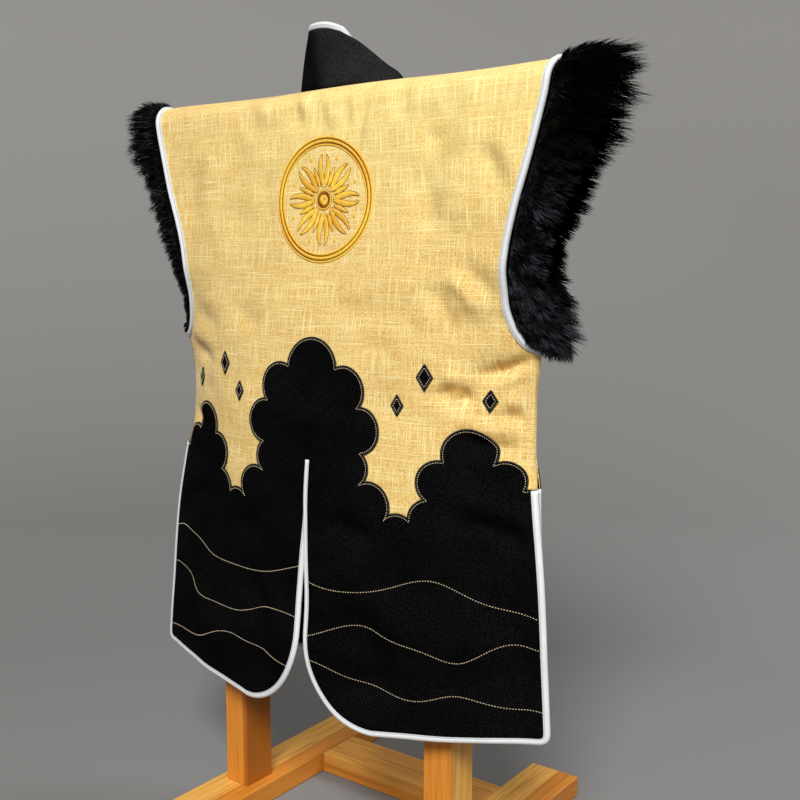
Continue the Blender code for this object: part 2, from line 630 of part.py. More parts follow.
# Collar: a standing band on the neckline, with its tape along the top
steps = np.linspace(-(len(COLLAR) - 1), len(COLLAR) - 1, 33)
rank = np.arange(len(COLLAR))
sign = np.where(steps < 0, -1.0, 1.0)


def along_collar(name):
    return smooth(rank, column(COLLAR, name), np.abs(steps))


foot_x = sign * along_collar("across")
foot_q = np.maximum(along_collar("down"), 0.0)
high = np.where(steps < 0, along_collar("high_left"), along_collar("high_right"))
roll = np.clip(np.where(steps < 0, along_collar("roll_left"), along_collar("roll_right")), 0.0, 1.0)[:, None]
lean = np.stack([-sign * along_collar("lean_in"), along_collar("lean_y"), along_collar("lean_z")], axis=1)
lean /= np.linalg.norm(lean, axis=1, keepdims=True)
foot = front(foot_x, foot_q) + facing(front, foot_x, foot_q, 1) * (CLOTH / 2 + 2 * SEAM_GAP)
top = foot + lean * high[:, None]
count = len(steps)
levels = [foot + lean * (share * high)[:, None] for share in (0.0, 0.33, 0.67, 1.0)]
mesh = bpy.data.meshes.new("collar")
faces = []
for level in range(len(levels) - 1):
    for i in range(level * count, level * count + count - 1):
        faces.append((i, i + 1, i + count + 1, i + count))
mesh.from_pydata([tuple(p) for p in np.concatenate(levels)], [], faces)
mesh.update()
collar = bpy.data.objects.new("collar", mesh)
thicken = collar.modifiers.new("cloth", "SOLIDIFY")
thicken.thickness = COLLAR_THICK
thicken.offset = 0.0
finish(collar, TWILL, 0.75)
inwards = np.array([0.0, NECK_MIDDLE_Y, 0.0]) - top
inwards[:, 2] = 0.0
inwards /= np.linalg.norm(inwards, axis=1, keepdims=True)
rim = lean * (1 - roll) + inwards * roll
rim /= np.linalg.norm(rim, axis=1, keepdims=True)
start = top + rim * (SEAM_GAP + 0.0012 * roll) + lean * (0.0021 * roll)
ribbon("collar_binding", start + rim * COLLAR_BINDING, start, False, COLLAR_THICK, SATIN, 0.35)


# Stand
def board(name, size, centre):
    """A squared timber with eased edges."""
    bpy.ops.mesh.primitive_cube_add(size=1.0, location=centre)
    obj = bpy.context.object
    obj.name = name
    obj.data.name = name
    obj.scale = size
    bpy.ops.object.transform_apply(location=False, rotation=False, scale=True)
    ease = obj.modifiers.new("eased edges", "BEVEL")
    ease.width = 0.0015
    ease.segments = 2
    return finish(obj, PINE, 0.5)


bar_half = ROLL_RADIUS - CLOTH / 2 - BAR_CLEARANCE
bar_middle = RIDGE_HEIGHT - ROLL_RADIUS
bar_bottom = bar_middle + bar_half - BAR_HIGH
outline = bpy.data.curves.new("crossbar", "CURVE")
outline.dimensions = "2D"
outline.fill_mode = "BOTH"
outline.extrude = BAR_LONG / 2
spline = outline.splines.new("POLY")
arc = [(bar_half * math.cos(a), bar_half * math.sin(a)) for a in np.linspace(0.0, math.pi, 13)]
profile = [(bar_half, bar_bottom - bar_middle)] + arc + [(-bar_half, bar_bottom - bar_middle)]
spline.points.add(len(profile) - 1)
for point, (u, v) in zip(spline.points, profile):
    point.co = (u, v, 0.0, 1.0)
spline.use_cyclic_u = True
crossbar = bpy.data.objects.new("crossbar", outline)
crossbar.rotation_euler = (math.pi / 2, 0.0, math.pi / 2)
crossbar.location = (-ASKEW, 0.0, bar_middle)
finish(crossbar, PINE, 0.5)
post_low = FOOT_HIGH + WOOD_GAP
post_tall = bar_bottom - WOOD_GAP - post_low
for hand, sign in (("right", 1), ("left", -1)):
    x = sign * POST_ACROSS - ASKEW
    board("post_" + hand, (POST_WIDE, POST_DEEP, post_tall), (x, POST_Y, post_low + post_tall / 2))
    board("foot_" + hand, (FOOT_WIDE, FOOT_LONG, FOOT_HIGH), (x, 0.0, FOOT_HIGH / 2))
stretcher_long = 2 * POST_ACROSS - FOOT_WIDE - 2 * WOOD_GAP
board("stretcher", (stretcher_long, STRETCHER_WIDE, FOOT_HIGH), (-ASKEW, STRETCHER_Y, FOOT_HIGH / 2))
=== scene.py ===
# %% [markdown]
# # A samurai surcoat on its stand
# The object is a jinbaori, the sleeveless coat worn over armour, hung over the bar of a pine stand and seen
# from behind. The measured part already holds every piece at its true size, so this lesson only dresses it:
# the plain solids of the cloth are swapped for thin creased sheets, the fur ring grows hair, and the timber
# gets its grain. The dressed model may hardly be larger than it.

# %% load the measured part
import math
from collections import namedtuple

import bmesh
import bpy
import numpy as np
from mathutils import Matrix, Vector
from mathutils.geometry import delaunay_2d_cdt
from mathutils.kdtree import KDTree


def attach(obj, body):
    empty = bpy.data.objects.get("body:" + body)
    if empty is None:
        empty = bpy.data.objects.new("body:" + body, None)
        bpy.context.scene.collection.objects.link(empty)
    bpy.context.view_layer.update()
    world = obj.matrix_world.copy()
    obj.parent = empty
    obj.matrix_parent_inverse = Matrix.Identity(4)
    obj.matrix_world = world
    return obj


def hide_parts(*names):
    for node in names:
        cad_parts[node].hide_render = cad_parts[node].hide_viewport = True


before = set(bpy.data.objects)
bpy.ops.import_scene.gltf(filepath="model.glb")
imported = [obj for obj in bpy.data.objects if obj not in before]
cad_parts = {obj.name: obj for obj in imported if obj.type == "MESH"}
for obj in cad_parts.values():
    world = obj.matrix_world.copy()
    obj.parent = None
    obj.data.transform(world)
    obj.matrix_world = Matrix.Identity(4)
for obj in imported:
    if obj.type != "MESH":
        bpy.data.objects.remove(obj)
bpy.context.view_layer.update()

scene = bpy.context.scene

# %% [markdown]
# ## Camera
# A photograph is matched first by its camera. The stand's square feet give the vanishing lines, and from
# them come the direction and the lens. A full-frame sensor of 36 mm with a 47 mm lens sees the same angle
# as the picture.

# %% camera
lens = bpy.data.cameras.new("photo_view")
lens.lens = 47.25
lens.sensor_width = 36.0
camera = bpy.data.objects.new("photo_view", lens)
camera.location = (0.8894, -1.0630, 0.7913)
camera.rotation_euler = (math.radians(90 - 7.19), 0.0, math.radians(36.61))
scene.collection.objects.link(camera)
scene.camera = camera
print("camera at", tuple(round(v, 3) for v in camera.location))

# %% [markdown]
# ## Studio
# Cloth shows its weave in soft light that comes from one side. One large softbox hangs high behind the
# camera, a weak one close above it softens the shadows, and one behind the stand gives the fur an edge. A
# warm grey world keeps the creases from going cold. Floor and backdrop are one sheet of paper, a little
# paler far off, so that no line shows where the floor turns up. The backdrop is seen by the camera alone,
# so it keeps no light from the cloth.


# %% studio lights
def softbox(name, place, aim, size, watts, colour):
    lamp = bpy.data.lights.new(name, "AREA")
    lamp.shape = "DISK"
    lamp.size = size
    lamp.energy = watts
    lamp.color = colour
    holder = bpy.data.objects.new(name, lamp)
    holder.location = place
    holder.rotation_euler = (Vector(aim) - Vector(place)).to_track_quat("-Z", "Y").to_euler()
    holder.visible_camera = False
    scene.collection.objects.link(holder)


softbox("key_softbox", (2.0, -3.7, 4.2), (0.0, 0.0, 0.65), 2.0, 402.0, (1.0, 0.985, 0.955))
softbox("fill_softbox", (1.5, -1.5, 1.7), (0.3, 0.0, 0.8), 1.0, 3.0, (1.0, 0.99, 0.97))
softbox("rim_softbox", (1.2, 2.0, 2.6), (0.0, 0.0, 0.8), 1.4, 36.0, (1.0, 1.0, 1.0))
world = bpy.data.worlds.new("studio")
world.use_nodes = True
world.node_tree.nodes["Background"].inputs["Color"].default_value = (0.67, 0.62, 0.55, 1.0)
world.node_tree.nodes["Background"].inputs["Strength"].default_value = 0.30
scene.world = world
scene.view_settings.view_transform = "Standard"


# %% helpers for materials
def new_material(name, roughness):
    """An empty node material; returns it with its tree and its main shader."""
    material = bpy.data.materials.new(name)
    material.use_nodes = True
    shader = material.node_tree.nodes["Principled BSDF"]
    shader.inputs["Roughness"].default_value = roughness
    return material, material.node_tree, shader


def add(tree, kind, inputs=None, **settings):
    """One node with its settings, and with inputs that are values, opaque colours or sockets to link from."""
    node = tree.nodes.new("ShaderNode" + kind)
    for key, value in settings.items():
        setattr(node, key, value)
    for key, value in (inputs or {}).items():
        socket = node.inputs[key]
        if isinstance(value, bpy.types.NodeSocket):
            tree.links.new(value, socket)
        else:
            socket.default_value = (*value, 1.0) if socket.type == "RGBA" else value
    return node


PAPER_NEAR, PAPER_FAR, PAPER_BLUE = 1.0, 5.6, 1.01  # from where to where the paper turns pale, and its tint


def stage_paper(near, far):
    """Matt paper, one grey round the stand and a paler one at the back, where less light falls."""
    material, tree, shader = new_material("stage_paper", 0.8)
    place = add(tree, "NewGeometry").outputs["Position"]
    away = add(tree, "VectorMath", {0: place}, operation="LENGTH").outputs["Value"]
    share = add(tree, "MapRange", {"Value": away, "From Min": PAPER_NEAR,
                                   "From Max": PAPER_FAR}).outputs["Result"]
    paper = add(tree, "ValToRGB", {"Fac": share})
    paper.color_ramp.elements[0].color = (near, near, near * PAPER_BLUE, 1.0)
    paper.color_ramp.elements[1].color = (far, far, far * PAPER_BLUE, 1.0)
    tree.links.new(paper.outputs["Color"], shader.inputs["Base Color"])
    return material


print("paper turns pale from", PAPER_NEAR, "to", PAPER_FAR, "metres")

# %% floor and backdrop
FLOOR_RADIUS, FLOOR_HEIGHT, SWEEP_RADIUS, WALL_TOP, ROUND_STEPS = 2.2, -0.0004, 3.2, 7.0, 96
bpy.ops.mesh.primitive_circle_add(vertices=ROUND_STEPS, radius=FLOOR_RADIUS, fill_type="NGON",
                                  location=(0.0, 0.0, FLOOR_HEIGHT))
floor = bpy.context.object
floor.name = "pale_floor"
paper = stage_paper(0.195, 0.465)
floor.data.materials.append(paper)
turn = np.linspace(0, 2 * math.pi, ROUND_STEPS + 1)[:-1]
rise = [(FLOOR_RADIUS + SWEEP_RADIUS * math.sin(a), FLOOR_HEIGHT + SWEEP_RADIUS * (1 - math.cos(a)))
        for a in np.linspace(0, math.pi / 2, 25)]
rise.append((FLOOR_RADIUS + SWEEP_RADIUS, WALL_TOP))
walls = [(r * math.cos(a), r * math.sin(a), z) for r, z in rise for a in turn]
wall_faces = []
for low in range(0, (len(rise) - 1) * ROUND_STEPS, ROUND_STEPS):
    high = low + ROUND_STEPS
    for i in range(ROUND_STEPS):
        beside = (i + 1) % ROUND_STEPS
        wall_faces.append((low + i, low + beside, high + beside, high + i))
mesh = bpy.data.meshes.new("backdrop")
mesh.from_pydata(walls, [], wall_faces)
mesh.shade_smooth()
backdrop = bpy.data.objects.new("backdrop", mesh)
scene.collection.objects.link(backdrop)
backdrop.data.materials.append(paper)
backdrop.visible_diffuse = False
backdrop.visible_glossy = False
backdrop.visible_shadow = False
print("floor and backdrop on the stage")

# %% [markdown]
# ## The cut of the coat
# A tailor draws the coat flat: how far from the middle, and how far down the cloth from the shoulder ridge.
# Every piece here is drawn in those two numbers and then hung in space by one function, so that what is
# sewn on a panel always lies on it. The tables are the coat's own: sections down its length, and the edges
# of its cut.

# %% tables of the cut
Section = namedtuple("Section", "drop middle_out side_out fullness")
Edge = namedtuple("Edge", "across down")
Fold = namedtuple("Fold", "across_a down_a across_b down_b width depth")
RIDGE_HEIGHT, ROLL_RADIUS, CLOTH, OVERLAY = 1.018, 0.024, 0.0012, 0.0010
ASKEW = 0.008  # how far the coat hangs to the left of its shoulders from the underarms down
BACK_SECTIONS = [Section(*row) for row in (
    (0.000, 0.000, 0.000, 3.0), (0.060, 0.002, 0.001, 3.0), (0.140, 0.004, 0.002, 3.0),
    (0.220, 0.010, -0.006, 3.0), (0.266, 0.0145, -0.0265, 3.0), (0.312, 0.019, -0.040, 3.0),
    (0.400, 0.026, -0.046, 3.0), (0.465, 0.031, -0.042, 2.5), (0.495, 0.034, -0.0355, 2.2),
    (0.600, 0.042, -0.026, 1.6), (0.830, 0.057, -0.016, 1.35))]
FRONT_SECTIONS = [Section(*row) for row in (
    (0.000, 0.000, 0.000, 3.0), (0.060, 0.016, 0.008, 3.0), (0.140, 0.034, 0.022, 3.0),
    (0.220, 0.052, 0.020, 2.8), (0.312, 0.066, -0.008, 2.6), (0.400, 0.072, -0.002, 2.4),
    (0.465, 0.075, -0.006, 2.3), (0.495, 0.077, -0.006, 2.2), (0.600, 0.082, -0.002, 2.0),
    (0.830, 0.090, 0.004, 1.8))]
SIDE_SEAM = [(0.312, 0.016), (0.355, 0.021), (0.400, 0.022), (0.465, 0.018)]
ARMHOLE = [Edge(*row) for row in (
    (0.325, 0.000), (0.319, 0.045), (0.311, 0.078), (0.2970, 0.129), (0.2815, 0.178), (0.2715, 0.221),
    (0.2685, 0.252), (0.2690, 0.281), (0.2745, 0.305), (0.2850, 0.324), (0.3010, 0.335))]
SIDE = [Edge(*row) for row in (
    (0.325, 0.000), (0.315, 0.160), (0.301, 0.335), (0.293, 0.400), (0.294, 0.450), (0.302, 0.502),
    (0.318, 0.610), (0.328, 0.720), (0.335, 0.803), (0.338, 0.850))]
FRONT_SIDE = SIDE[:6] + [Edge(0.303, 0.610), Edge(0.299, 0.720), Edge(0.296, 0.803), Edge(0.295, 0.850)]
HEM = [Edge(0.335, 0.803), Edge(0.280, 0.810), Edge(0.200, 0.822), Edge(0.110, 0.832)]
FRONT_HEM = [Edge(0.296, 0.803), Edge(0.240, 0.808), Edge(0.160, 0.817), Edge(0.072, 0.826)]
NECKLINE = [Edge(*row) for row in (
    (0.056, 0.000), (0.073, 0.012), (0.0800, 0.035), (0.081, 0.080), (0.070, 0.150), (0.050, 0.220),
    (0.036, 0.280))]
BACK_FOLDS = [Fold(*row) for row in (
    (0.292, 0.350, 0.205, 0.385, 0.022, 0.0035), (0.090, 0.405, 0.180, 0.430, 0.026, 0.0025),
    (-0.290, 0.385, -0.215, 0.360, 0.022, 0.0040), (0.150, 0.250, 0.195, 0.305, 0.030, -0.0030),
    (-0.130, 0.180, -0.160, 0.300, 0.040, 0.0025), (-0.180, 0.600, -0.200, 0.800, 0.040, -0.0040),
    (0.130, 0.620, 0.150, 0.800, 0.045, 0.0035))]
FRONT_FOLDS = [Fold(*row) for row in (
    (0.285, 0.360, 0.190, 0.400, 0.024, 0.0040), (0.150, 0.180, 0.170, 0.320, 0.040, 0.0030),
    (0.140, 0.580, 0.150, 0.800, 0.045, -0.0040))]
LOZENGES = {"inner": (0.134, 0.408, 0.008, 0.013), "middle": (0.170, 0.372, 0.010, 0.016),
            "outer": (0.246, 0.398, 0.008, 0.013)}  # across, down, half width and half height
ROUNDEL_DOWN, ROUNDEL_RADIUS = 0.155, 0.080
print("sections", len(BACK_SECTIONS), "and", len(FRONT_SECTIONS))

# %% [markdown]
# ## Creases
# Hung linen isn't smooth: it pulls from the underarm, sags in the waist, and keeps soft dents from being
# stored. A cloth simulation could fold it, but not where the real one is folded, so each crease is a row:
# its two ends on the cut, its width, its depth and how much it bows. A trough has a low ridge beside it,
# because cloth that goes in at one place comes out at the next. They are placed on the seen side, and the
# fronts get similar ones. Needlework stiffens the cloth, so they fade at the roundel and at the lozenges.

# %% crease tables
Crease = namedtuple("Crease", "across_a down_a across_b down_b width depth bow")
BACK_CREASES = [Crease(*row) for row in (
    (0.300, 0.338, 0.222, 0.372, 0.0080, 0.0060, 0.006), (0.296, 0.362, 0.240, 0.392, 0.0070, 0.0024, 0.004),
    (0.150, 0.373, 0.244, 0.399, 0.0095, 0.0060, -0.006), (0.232, 0.408, 0.296, 0.426, 0.0075, 0.0048, 0.003),
    (0.196, 0.248, 0.240, 0.298, 0.0095, -0.0036, 0.004), (0.168, 0.262, 0.206, 0.322, 0.0120, 0.0022, 0.004),
    (0.258, 0.290, 0.286, 0.336, 0.0075, 0.0038, 0.003), (0.092, 0.006, 0.048, 0.086, 0.0056, 0.0034, -0.004),
    (-0.010, 0.018, -0.002, 0.080, 0.0100, 0.0028, -0.003),
    (-0.066, 0.000, -0.044, 0.066, 0.0085, 0.0030, 0.003),
    (0.036, 0.030, 0.030, 0.078, 0.0070, 0.0018, 0.002), (0.200, 0.020, 0.172, 0.098, 0.0140, 0.0022, 0.006),
    (-0.148, 0.000, -0.126, 0.070, 0.0120, 0.0022, 0.004),
    (0.136, 0.004, 0.118, 0.064, 0.0090, 0.0018, -0.003), (0.150, 0.050, 0.176, 0.140, 0.0160, 0.0018, 0.006),
    (-0.080, 0.120, -0.110, 0.200, 0.0220, 0.0018, 0.008),
    (0.158, 0.120, 0.170, 0.205, 0.0200, 0.0028, -0.006), (0.232, 0.100, 0.262, 0.168, 0.0130, 0.0024, 0.006),
    (-0.228, 0.090, -0.250, 0.190, 0.0160, 0.0018, -0.006),
    (-0.150, 0.060, -0.190, 0.150, 0.0180, 0.0014, 0.008),
    (-0.284, 0.352, -0.206, 0.384, 0.0110, 0.0024, 0.006),
    (-0.276, 0.398, -0.196, 0.408, 0.0100, 0.0018, -0.004),
    (-0.250, 0.300, -0.190, 0.336, 0.0140, 0.0015, 0.004),
    (-0.150, 0.300, -0.090, 0.330, 0.0140, 0.0010, 0.004),
    (0.020, 0.290, 0.110, 0.310, 0.0160, 0.0010, 0.005), (0.070, 0.330, 0.140, 0.342, 0.0110, 0.0008, -0.003),
    (0.206, 0.440, 0.290, 0.456, 0.0100, 0.0028, -0.004),
    (-0.220, 0.470, -0.290, 0.446, 0.0110, 0.0030, 0.004),
    (0.210, 0.545, 0.310, 0.572, 0.0130, 0.0030, 0.005), (0.040, 0.560, 0.110, 0.590, 0.0130, 0.0022, 0.004),
    (-0.060, 0.560, -0.150, 0.600, 0.0150, 0.0026, 0.005),
    (-0.210, 0.560, -0.300, 0.600, 0.0150, 0.0030, -0.006),
    (0.080, 0.660, 0.110, 0.800, 0.0230, 0.0034, 0.008), (0.250, 0.640, 0.240, 0.795, 0.0240, -0.0030, 0.006),
    (-0.100, 0.650, -0.080, 0.800, 0.0220, 0.0034, 0.006),
    (-0.270, 0.650, -0.260, 0.790, 0.0220, 0.0030, -0.006))]
FRONT_CREASES = [Crease(*row) for row in (
    (0.292, 0.345, 0.215, 0.386, 0.0095, 0.0044, 0.006), (0.286, 0.384, 0.200, 0.420, 0.0110, 0.0034, -0.005),
    (0.240, 0.080, 0.258, 0.190, 0.0150, 0.0030, 0.006), (0.150, 0.050, 0.172, 0.150, 0.0170, 0.0026, 0.006),
    (0.110, 0.210, 0.176, 0.300, 0.0150, 0.0028, 0.006), (0.080, 0.330, 0.160, 0.370, 0.0130, 0.0028, 0.005),
    (0.050, 0.430, 0.140, 0.452, 0.0120, 0.0024, -0.004), (0.170, 0.470, 0.270, 0.500, 0.0140, 0.0030, 0.005),
    (0.070, 0.600, 0.090, 0.790, 0.0220, 0.0036, 0.007),
    (0.200, 0.600, 0.215, 0.790, 0.0240, -0.0032, 0.006))]
print("creases", len(BACK_CREASES), "on the back and", len(FRONT_CREASES), "on each front")


# %% reading a table smoothly
def smooth(xs, ys, x):
    """A curve through a table's rows that never swings past them."""
    xs, ys, x = np.asarray(xs, float), np.asarray(ys, float), np.asarray(x, float)
    rise = np.diff(ys) / np.diff(xs)
    slope = np.concatenate([rise[:1], np.zeros(len(xs) - 2), rise[-1:]])
    same = rise[:-1] * rise[1:] > 0
    slope[1:-1][same] = 2 * rise[:-1][same] * rise[1:][same] / (rise[:-1] + rise[1:])[same]
    i = np.clip(np.searchsorted(xs, x) - 1, 0, len(xs) - 2)
    width = xs[i + 1] - xs[i]
    t = np.clip((x - xs[i]) / width, 0.0, 1.0)
    a = (1 + 2 * t) * (1 - t) ** 2 * ys[i] + t * (1 - t) ** 2 * width * slope[i]
    return a + t * t * (3 - 2 * t) * ys[i + 1] + t * t * (t - 1) * width * slope[i + 1]


def column(rows, name):
    return [getattr(row, name) for row in rows]


def side_edge(q, rows=SIDE):
    return smooth(column(rows, "down"), column(rows, "across"), q)


def cut_edge(q, rows=SIDE):
    """How far from the middle the cloth ends: at the armhole, or below it at the side."""
    arm = smooth(column(ARMHOLE, "down"), column(ARMHOLE, "across"), q)
    return np.where(q < ARMHOLE[-1].down, arm, side_edge(q, rows))


def eased(value, start, end):
    t = np.clip((value - start) / (end - start), 0.0, 1.0)
    return t * t * (3 - 2 * t)


def unit(vectors):
    return vectors / np.linalg.norm(vectors, axis=-1, keepdims=True)


print("the coat is", round(2 * float(side_edge(0.0)), 3), "metres across the shoulders")


# %% depth of folds and creases
def by_line(line, x, q):
    """Where points lie by a fold or a crease: their share of the way along it, and how far aside of it."""
    dx, dq = line.across_b - line.across_a, line.down_b - line.down_a
    length = math.hypot(dx, dq)
    along = ((x - line.across_a) * dx + (q - line.down_a) * dq) / length ** 2
    aside = ((x - line.across_a) * dq - (q - line.down_a) * dx) / length
    return along, aside


def fold_depth(folds, x, q):
    """How far the large folds move the cloth inwards."""
    depth = np.zeros_like(x)
    for fold in folds:
        along, aside = by_line(fold, x, q)
        ends = np.exp(-np.maximum(np.abs(along - 0.5) - 0.35, 0.0) ** 2 / 0.08)
        depth += fold.depth * ends * np.exp(-(aside / fold.width) ** 2)
    return depth


def crease_depth(creases, x, q):
    """How far the fine creases move the cloth inwards: a trough with a lower ridge on one side."""
    depth = np.zeros_like(x)
    for crease in creases:
        along, aside = by_line(crease, x, q)
        aside = aside - crease.bow * 4 * along * (1 - along)
        ends = eased(along, -0.12, 0.30) * (1 - eased(along, 0.62, 1.12))
        spread = crease.width * (1 + 0.5 * np.abs(along - 0.35))
        trough = np.exp(-(aside / spread) ** 2)
        ridge_beside = 0.55 * np.exp(-((aside - 1.9 * spread) / (1.3 * spread)) ** 2)
        depth += 2.0 * crease.depth * ends * (trough - ridge_beside)
    return depth


def beside_needlework(x, q):
    """0 on the roundel and the lozenges and 1 away from them: no crease crosses the stiff needlework."""
    share = eased(np.hypot(x, q - ROUNDEL_DOWN), ROUNDEL_RADIUS, ROUNDEL_RADIUS + 0.028)
    for across, down, _, half_tall in LOZENGES.values():
        share *= eased(np.hypot(np.abs(x) - across, q - down), half_tall * 0.8, half_tall + 0.022)
    return share


def ripple(x, q):
    """The slight unevenness of hung cloth."""
    wave = np.sin(31 * x + 17 * q + 0.4) * np.sin(23 * q - 9 * x + 1.1)
    return 0.0009 * wave + 0.0005 * np.sin(71 * x - 12 * q + 2.0) * np.sin(57 * q + 21 * x)


print("folds", len(BACK_FOLDS), "on the back and", len(FRONT_FOLDS), "on each front")


# %% how far in the cloth goes
def sunk(sides, folds, creases, way, x, q):
    """How far folds and creases take the cloth in from its smooth form; they fade at its edges and seams."""
    from_edge = np.maximum(cut_edge(q, sides) - np.abs(x), 0.0)
    calm = np.clip((q - 0.06) / 0.06, 0.0, 1.0) * np.clip(from_edge / 0.045, 0.0, 1.0)
    by_seam = eased(q, 0.22, 0.30) * (1 - eased(q, 0.52, 0.56))
    settled = eased(q, 0.006, 0.036) * np.clip(0.15 + from_edge / 0.030, 0.0, 1.0)
    settled = settled * (1 - by_seam * (1 - np.clip(from_edge / 0.022, 0.0, 1.0)))
    if way < 0:
        settled = settled * beside_needlework(x, q)
    return fold_depth(folds, x, q) * calm + (crease_depth(creases, x, q) + ripple(x, q)) * settled


# How far from under the ridge the faces of the timbers lie, and how far from the middle the posts stand
BAR_FACE, POST_FACE_BACK, POST_FACE_FRONT, POST_ACROSS = 0.0234, 0.0205, 0.0345, 0.180


def room_inside(hung, x, q, way):
    """How far the cloth can go in before it meets the bar or a post of the stand."""
    by_bar = 1 - eased(q, 0.080, 0.100)
    by_post = 1 - eased(np.abs(np.abs(x) - POST_ACROSS), 0.030, 0.046)
    post_face = POST_FACE_BACK if way < 0 else POST_FACE_FRONT
    wood = np.maximum(BAR_FACE * by_bar, post_face * by_post) - 0.1 * (1 - np.maximum(by_bar, by_post))
    return np.maximum(hung - wood, 0.0)


BACK_FORM = (SIDE, BACK_FOLDS, BACK_CREASES, -1)
FRONT_FORM = (FRONT_SIDE, FRONT_FOLDS, FRONT_CREASES, 1)
across, down = np.mgrid[-0.25:0.26:0.01, 0.10:0.80:0.01]
print("deepest on the back", round(float(sunk(*BACK_FORM, across, down).max()), 4), "metres")


# %% hanging the cut in space
def on_body(sections, sides, folds, creases, way, x, q):
    """The place in space of a point of the cut; way is -1 on the back and +1 on the fronts."""
    x, q = np.broadcast_arrays(np.asarray(x, float), np.asarray(q, float))
    turn = np.clip(q / ROLL_RADIUS, 0.0, math.pi / 2)
    drop = ROLL_RADIUS * (1 - np.cos(turn)) + np.maximum(q - ROLL_RADIUS * math.pi / 2, 0.0)
    rows = column(sections, "drop")
    half = side_edge(q, sides)
    out = smooth(rows, column(sections, "middle_out"), drop) + ROLL_RADIUS * np.sin(turn)
    side = smooth(rows, column(sections, "side_out"), drop) + ROLL_RADIUS * np.sin(turn)
    seam_y = way * smooth(*zip(*SIDE_SEAM), drop)
    side = np.where((drop > SIDE_SEAM[0][0]) & (drop < SIDE_SEAM[-1][0]), seam_y, side)
    late = smooth(rows, column(sections, "fullness"), drop)
    depth = sunk(sides, folds, creases, way, x, q)
    hung = out + (side - out) * (np.abs(x) / half) ** late
    y = way * (hung - np.minimum(depth, room_inside(hung, x, q, way)))
    return np.stack([x - ASKEW * eased(q, 0.18, 0.36), y, RIDGE_HEIGHT - drop], axis=-1)


print("the roll over the bar takes", round(ROLL_RADIUS * math.pi / 2, 3), "metres of cloth")


# %% the back and the fronts
def puffed(x, q):
    """The ridge isn't quite level: the cloth stands off the bar here and there."""
    return 0.0011 * (1 + np.sin(19 * x + 0.8)) * np.exp(-(q / 0.035) ** 2)


TUCK_DEPTH, TUCK_EDGE = 0.0042, 0.006
LEFT_DROP = 0.010  # how much lower the outer corner of the left tail hangs


def tuck(x, q):
    """How far the left of the centre slit is tucked behind the right."""
    aside = eased(-x, -TUCK_EDGE, TUCK_EDGE) * np.exp(-(np.minimum(x + TUCK_EDGE, 0.0) / 0.09) ** 2)
    return TUCK_DEPTH * aside * eased(q, 0.425, 0.480) * (1 - eased(q, 0.62, 0.82))


def back(x, q, lap=None):
    """The back; lap +1 or -1 keeps a tail's edge wholly over or under the other at the slit."""
    point = on_body(BACK_SECTIONS, *BACK_FORM, x, q)
    x, q = np.asarray(x, float), np.asarray(q, float)
    point[..., 2] += puffed(x, q) - LEFT_DROP * eased(-x, 0.10, 0.33) * eased(q, 0.56, 0.80)
    if lap is not None:
        x = np.maximum(x, TUCK_EDGE) if lap > 0 else np.minimum(x, -TUCK_EDGE)
    point[..., 1] += tuck(x, q)
    return point


def front(x, q):
    """Both fronts: the folds of one side are mirrored on the other."""
    x, q = np.broadcast_arrays(np.asarray(x, float), np.asarray(q, float))
    point = on_body(FRONT_SECTIONS, *FRONT_FORM, np.abs(x), q)
    point[..., 0] += x - np.abs(x)
    point[..., 2] += puffed(x, q)
    return point


def facing(surface, x, q, way):
    """The outward direction of the cloth at each point."""
    step = 0.0010
    along = surface(x + step, q) - surface(x - step, q)
    down = surface(x, q + step) - surface(x, np.maximum(q - step, 0.0))
    normal = unit(np.cross(along, down))
    turned = np.sign(normal[..., 1:2] * way + 0.2 * normal[..., 2:3])
    return normal * np.where(turned == 0, 1, turned)


print("middle of the back hangs at", back(np.array([0.0]), np.array([0.4])).round(3).tolist())


# %% [markdown]
# ## Making sheets from an outline
# A sheet could be a grid that is cut to shape, but its edge would then be a staircase. A constrained
# triangulation keeps every drawn line as real edges and fills the rest with an even lattice, so the dark
# cloth can be the very triangles of the panel under it, lifted by a thread's thickness. Each sheet carries
# its flat cut as a UV map, in metres, and the weave is drawn on that, so that it runs true to the cloth.
# Each point also keeps how far it turns from the light in a crease, and the finish paints shade there.


# %% outlines
def run_length(points):
    """How far along a run of points each of them lies."""
    step = np.linalg.norm(np.diff(points, axis=0), axis=1)
    return np.concatenate([[0], np.cumsum(step)])


def sampled(edges, spacing):
    """Points at an even spacing along the smooth curve through an edge's rows."""
    p = np.array([(e.across, e.down) for e in edges])
    run = run_length(p)
    at = np.linspace(0, run[-1], max(2, int(round(run[-1] / spacing)) + 1))
    return np.stack([smooth(run, p[:, 0], at), smooth(run, p[:, 1], at)], axis=1)


def joined(*runs):
    points = [runs[0][0]]
    for run in runs:
        for p in run:
            if np.hypot(*(p - points[-1])) > 1e-5:
                points.append(p)
    return np.array(points)


def inset(points, distance):
    """An open run of points moved to its right, with mitred corners."""
    along = unit(np.diff(points, axis=0))
    right = np.stack([along[:, 1], -along[:, 0]], axis=1)
    both = unit(np.concatenate([right[:1], right[:-1] + right[1:], right[-1:]]))
    stretch = np.sum(both * np.concatenate([right, right[-1:]]), axis=1)
    return points + both * (distance / np.maximum(stretch, 0.35))[:, None]


def inside(polygon, p):
    a, b = polygon, np.roll(polygon, -1, axis=0)
    found = np.zeros(len(p), bool)
    for k in range(len(a)):
        if a[k, 1] != b[k, 1]:
            crosses = (a[k, 1] > p[:, 1]) != (b[k, 1] > p[:, 1])
            at = a[k, 0] + (p[:, 1] - a[k, 1]) / (b[k, 1] - a[k, 1]) * (b[k, 0] - a[k, 0])
            found ^= crosses & (p[:, 0] < at)
    return found


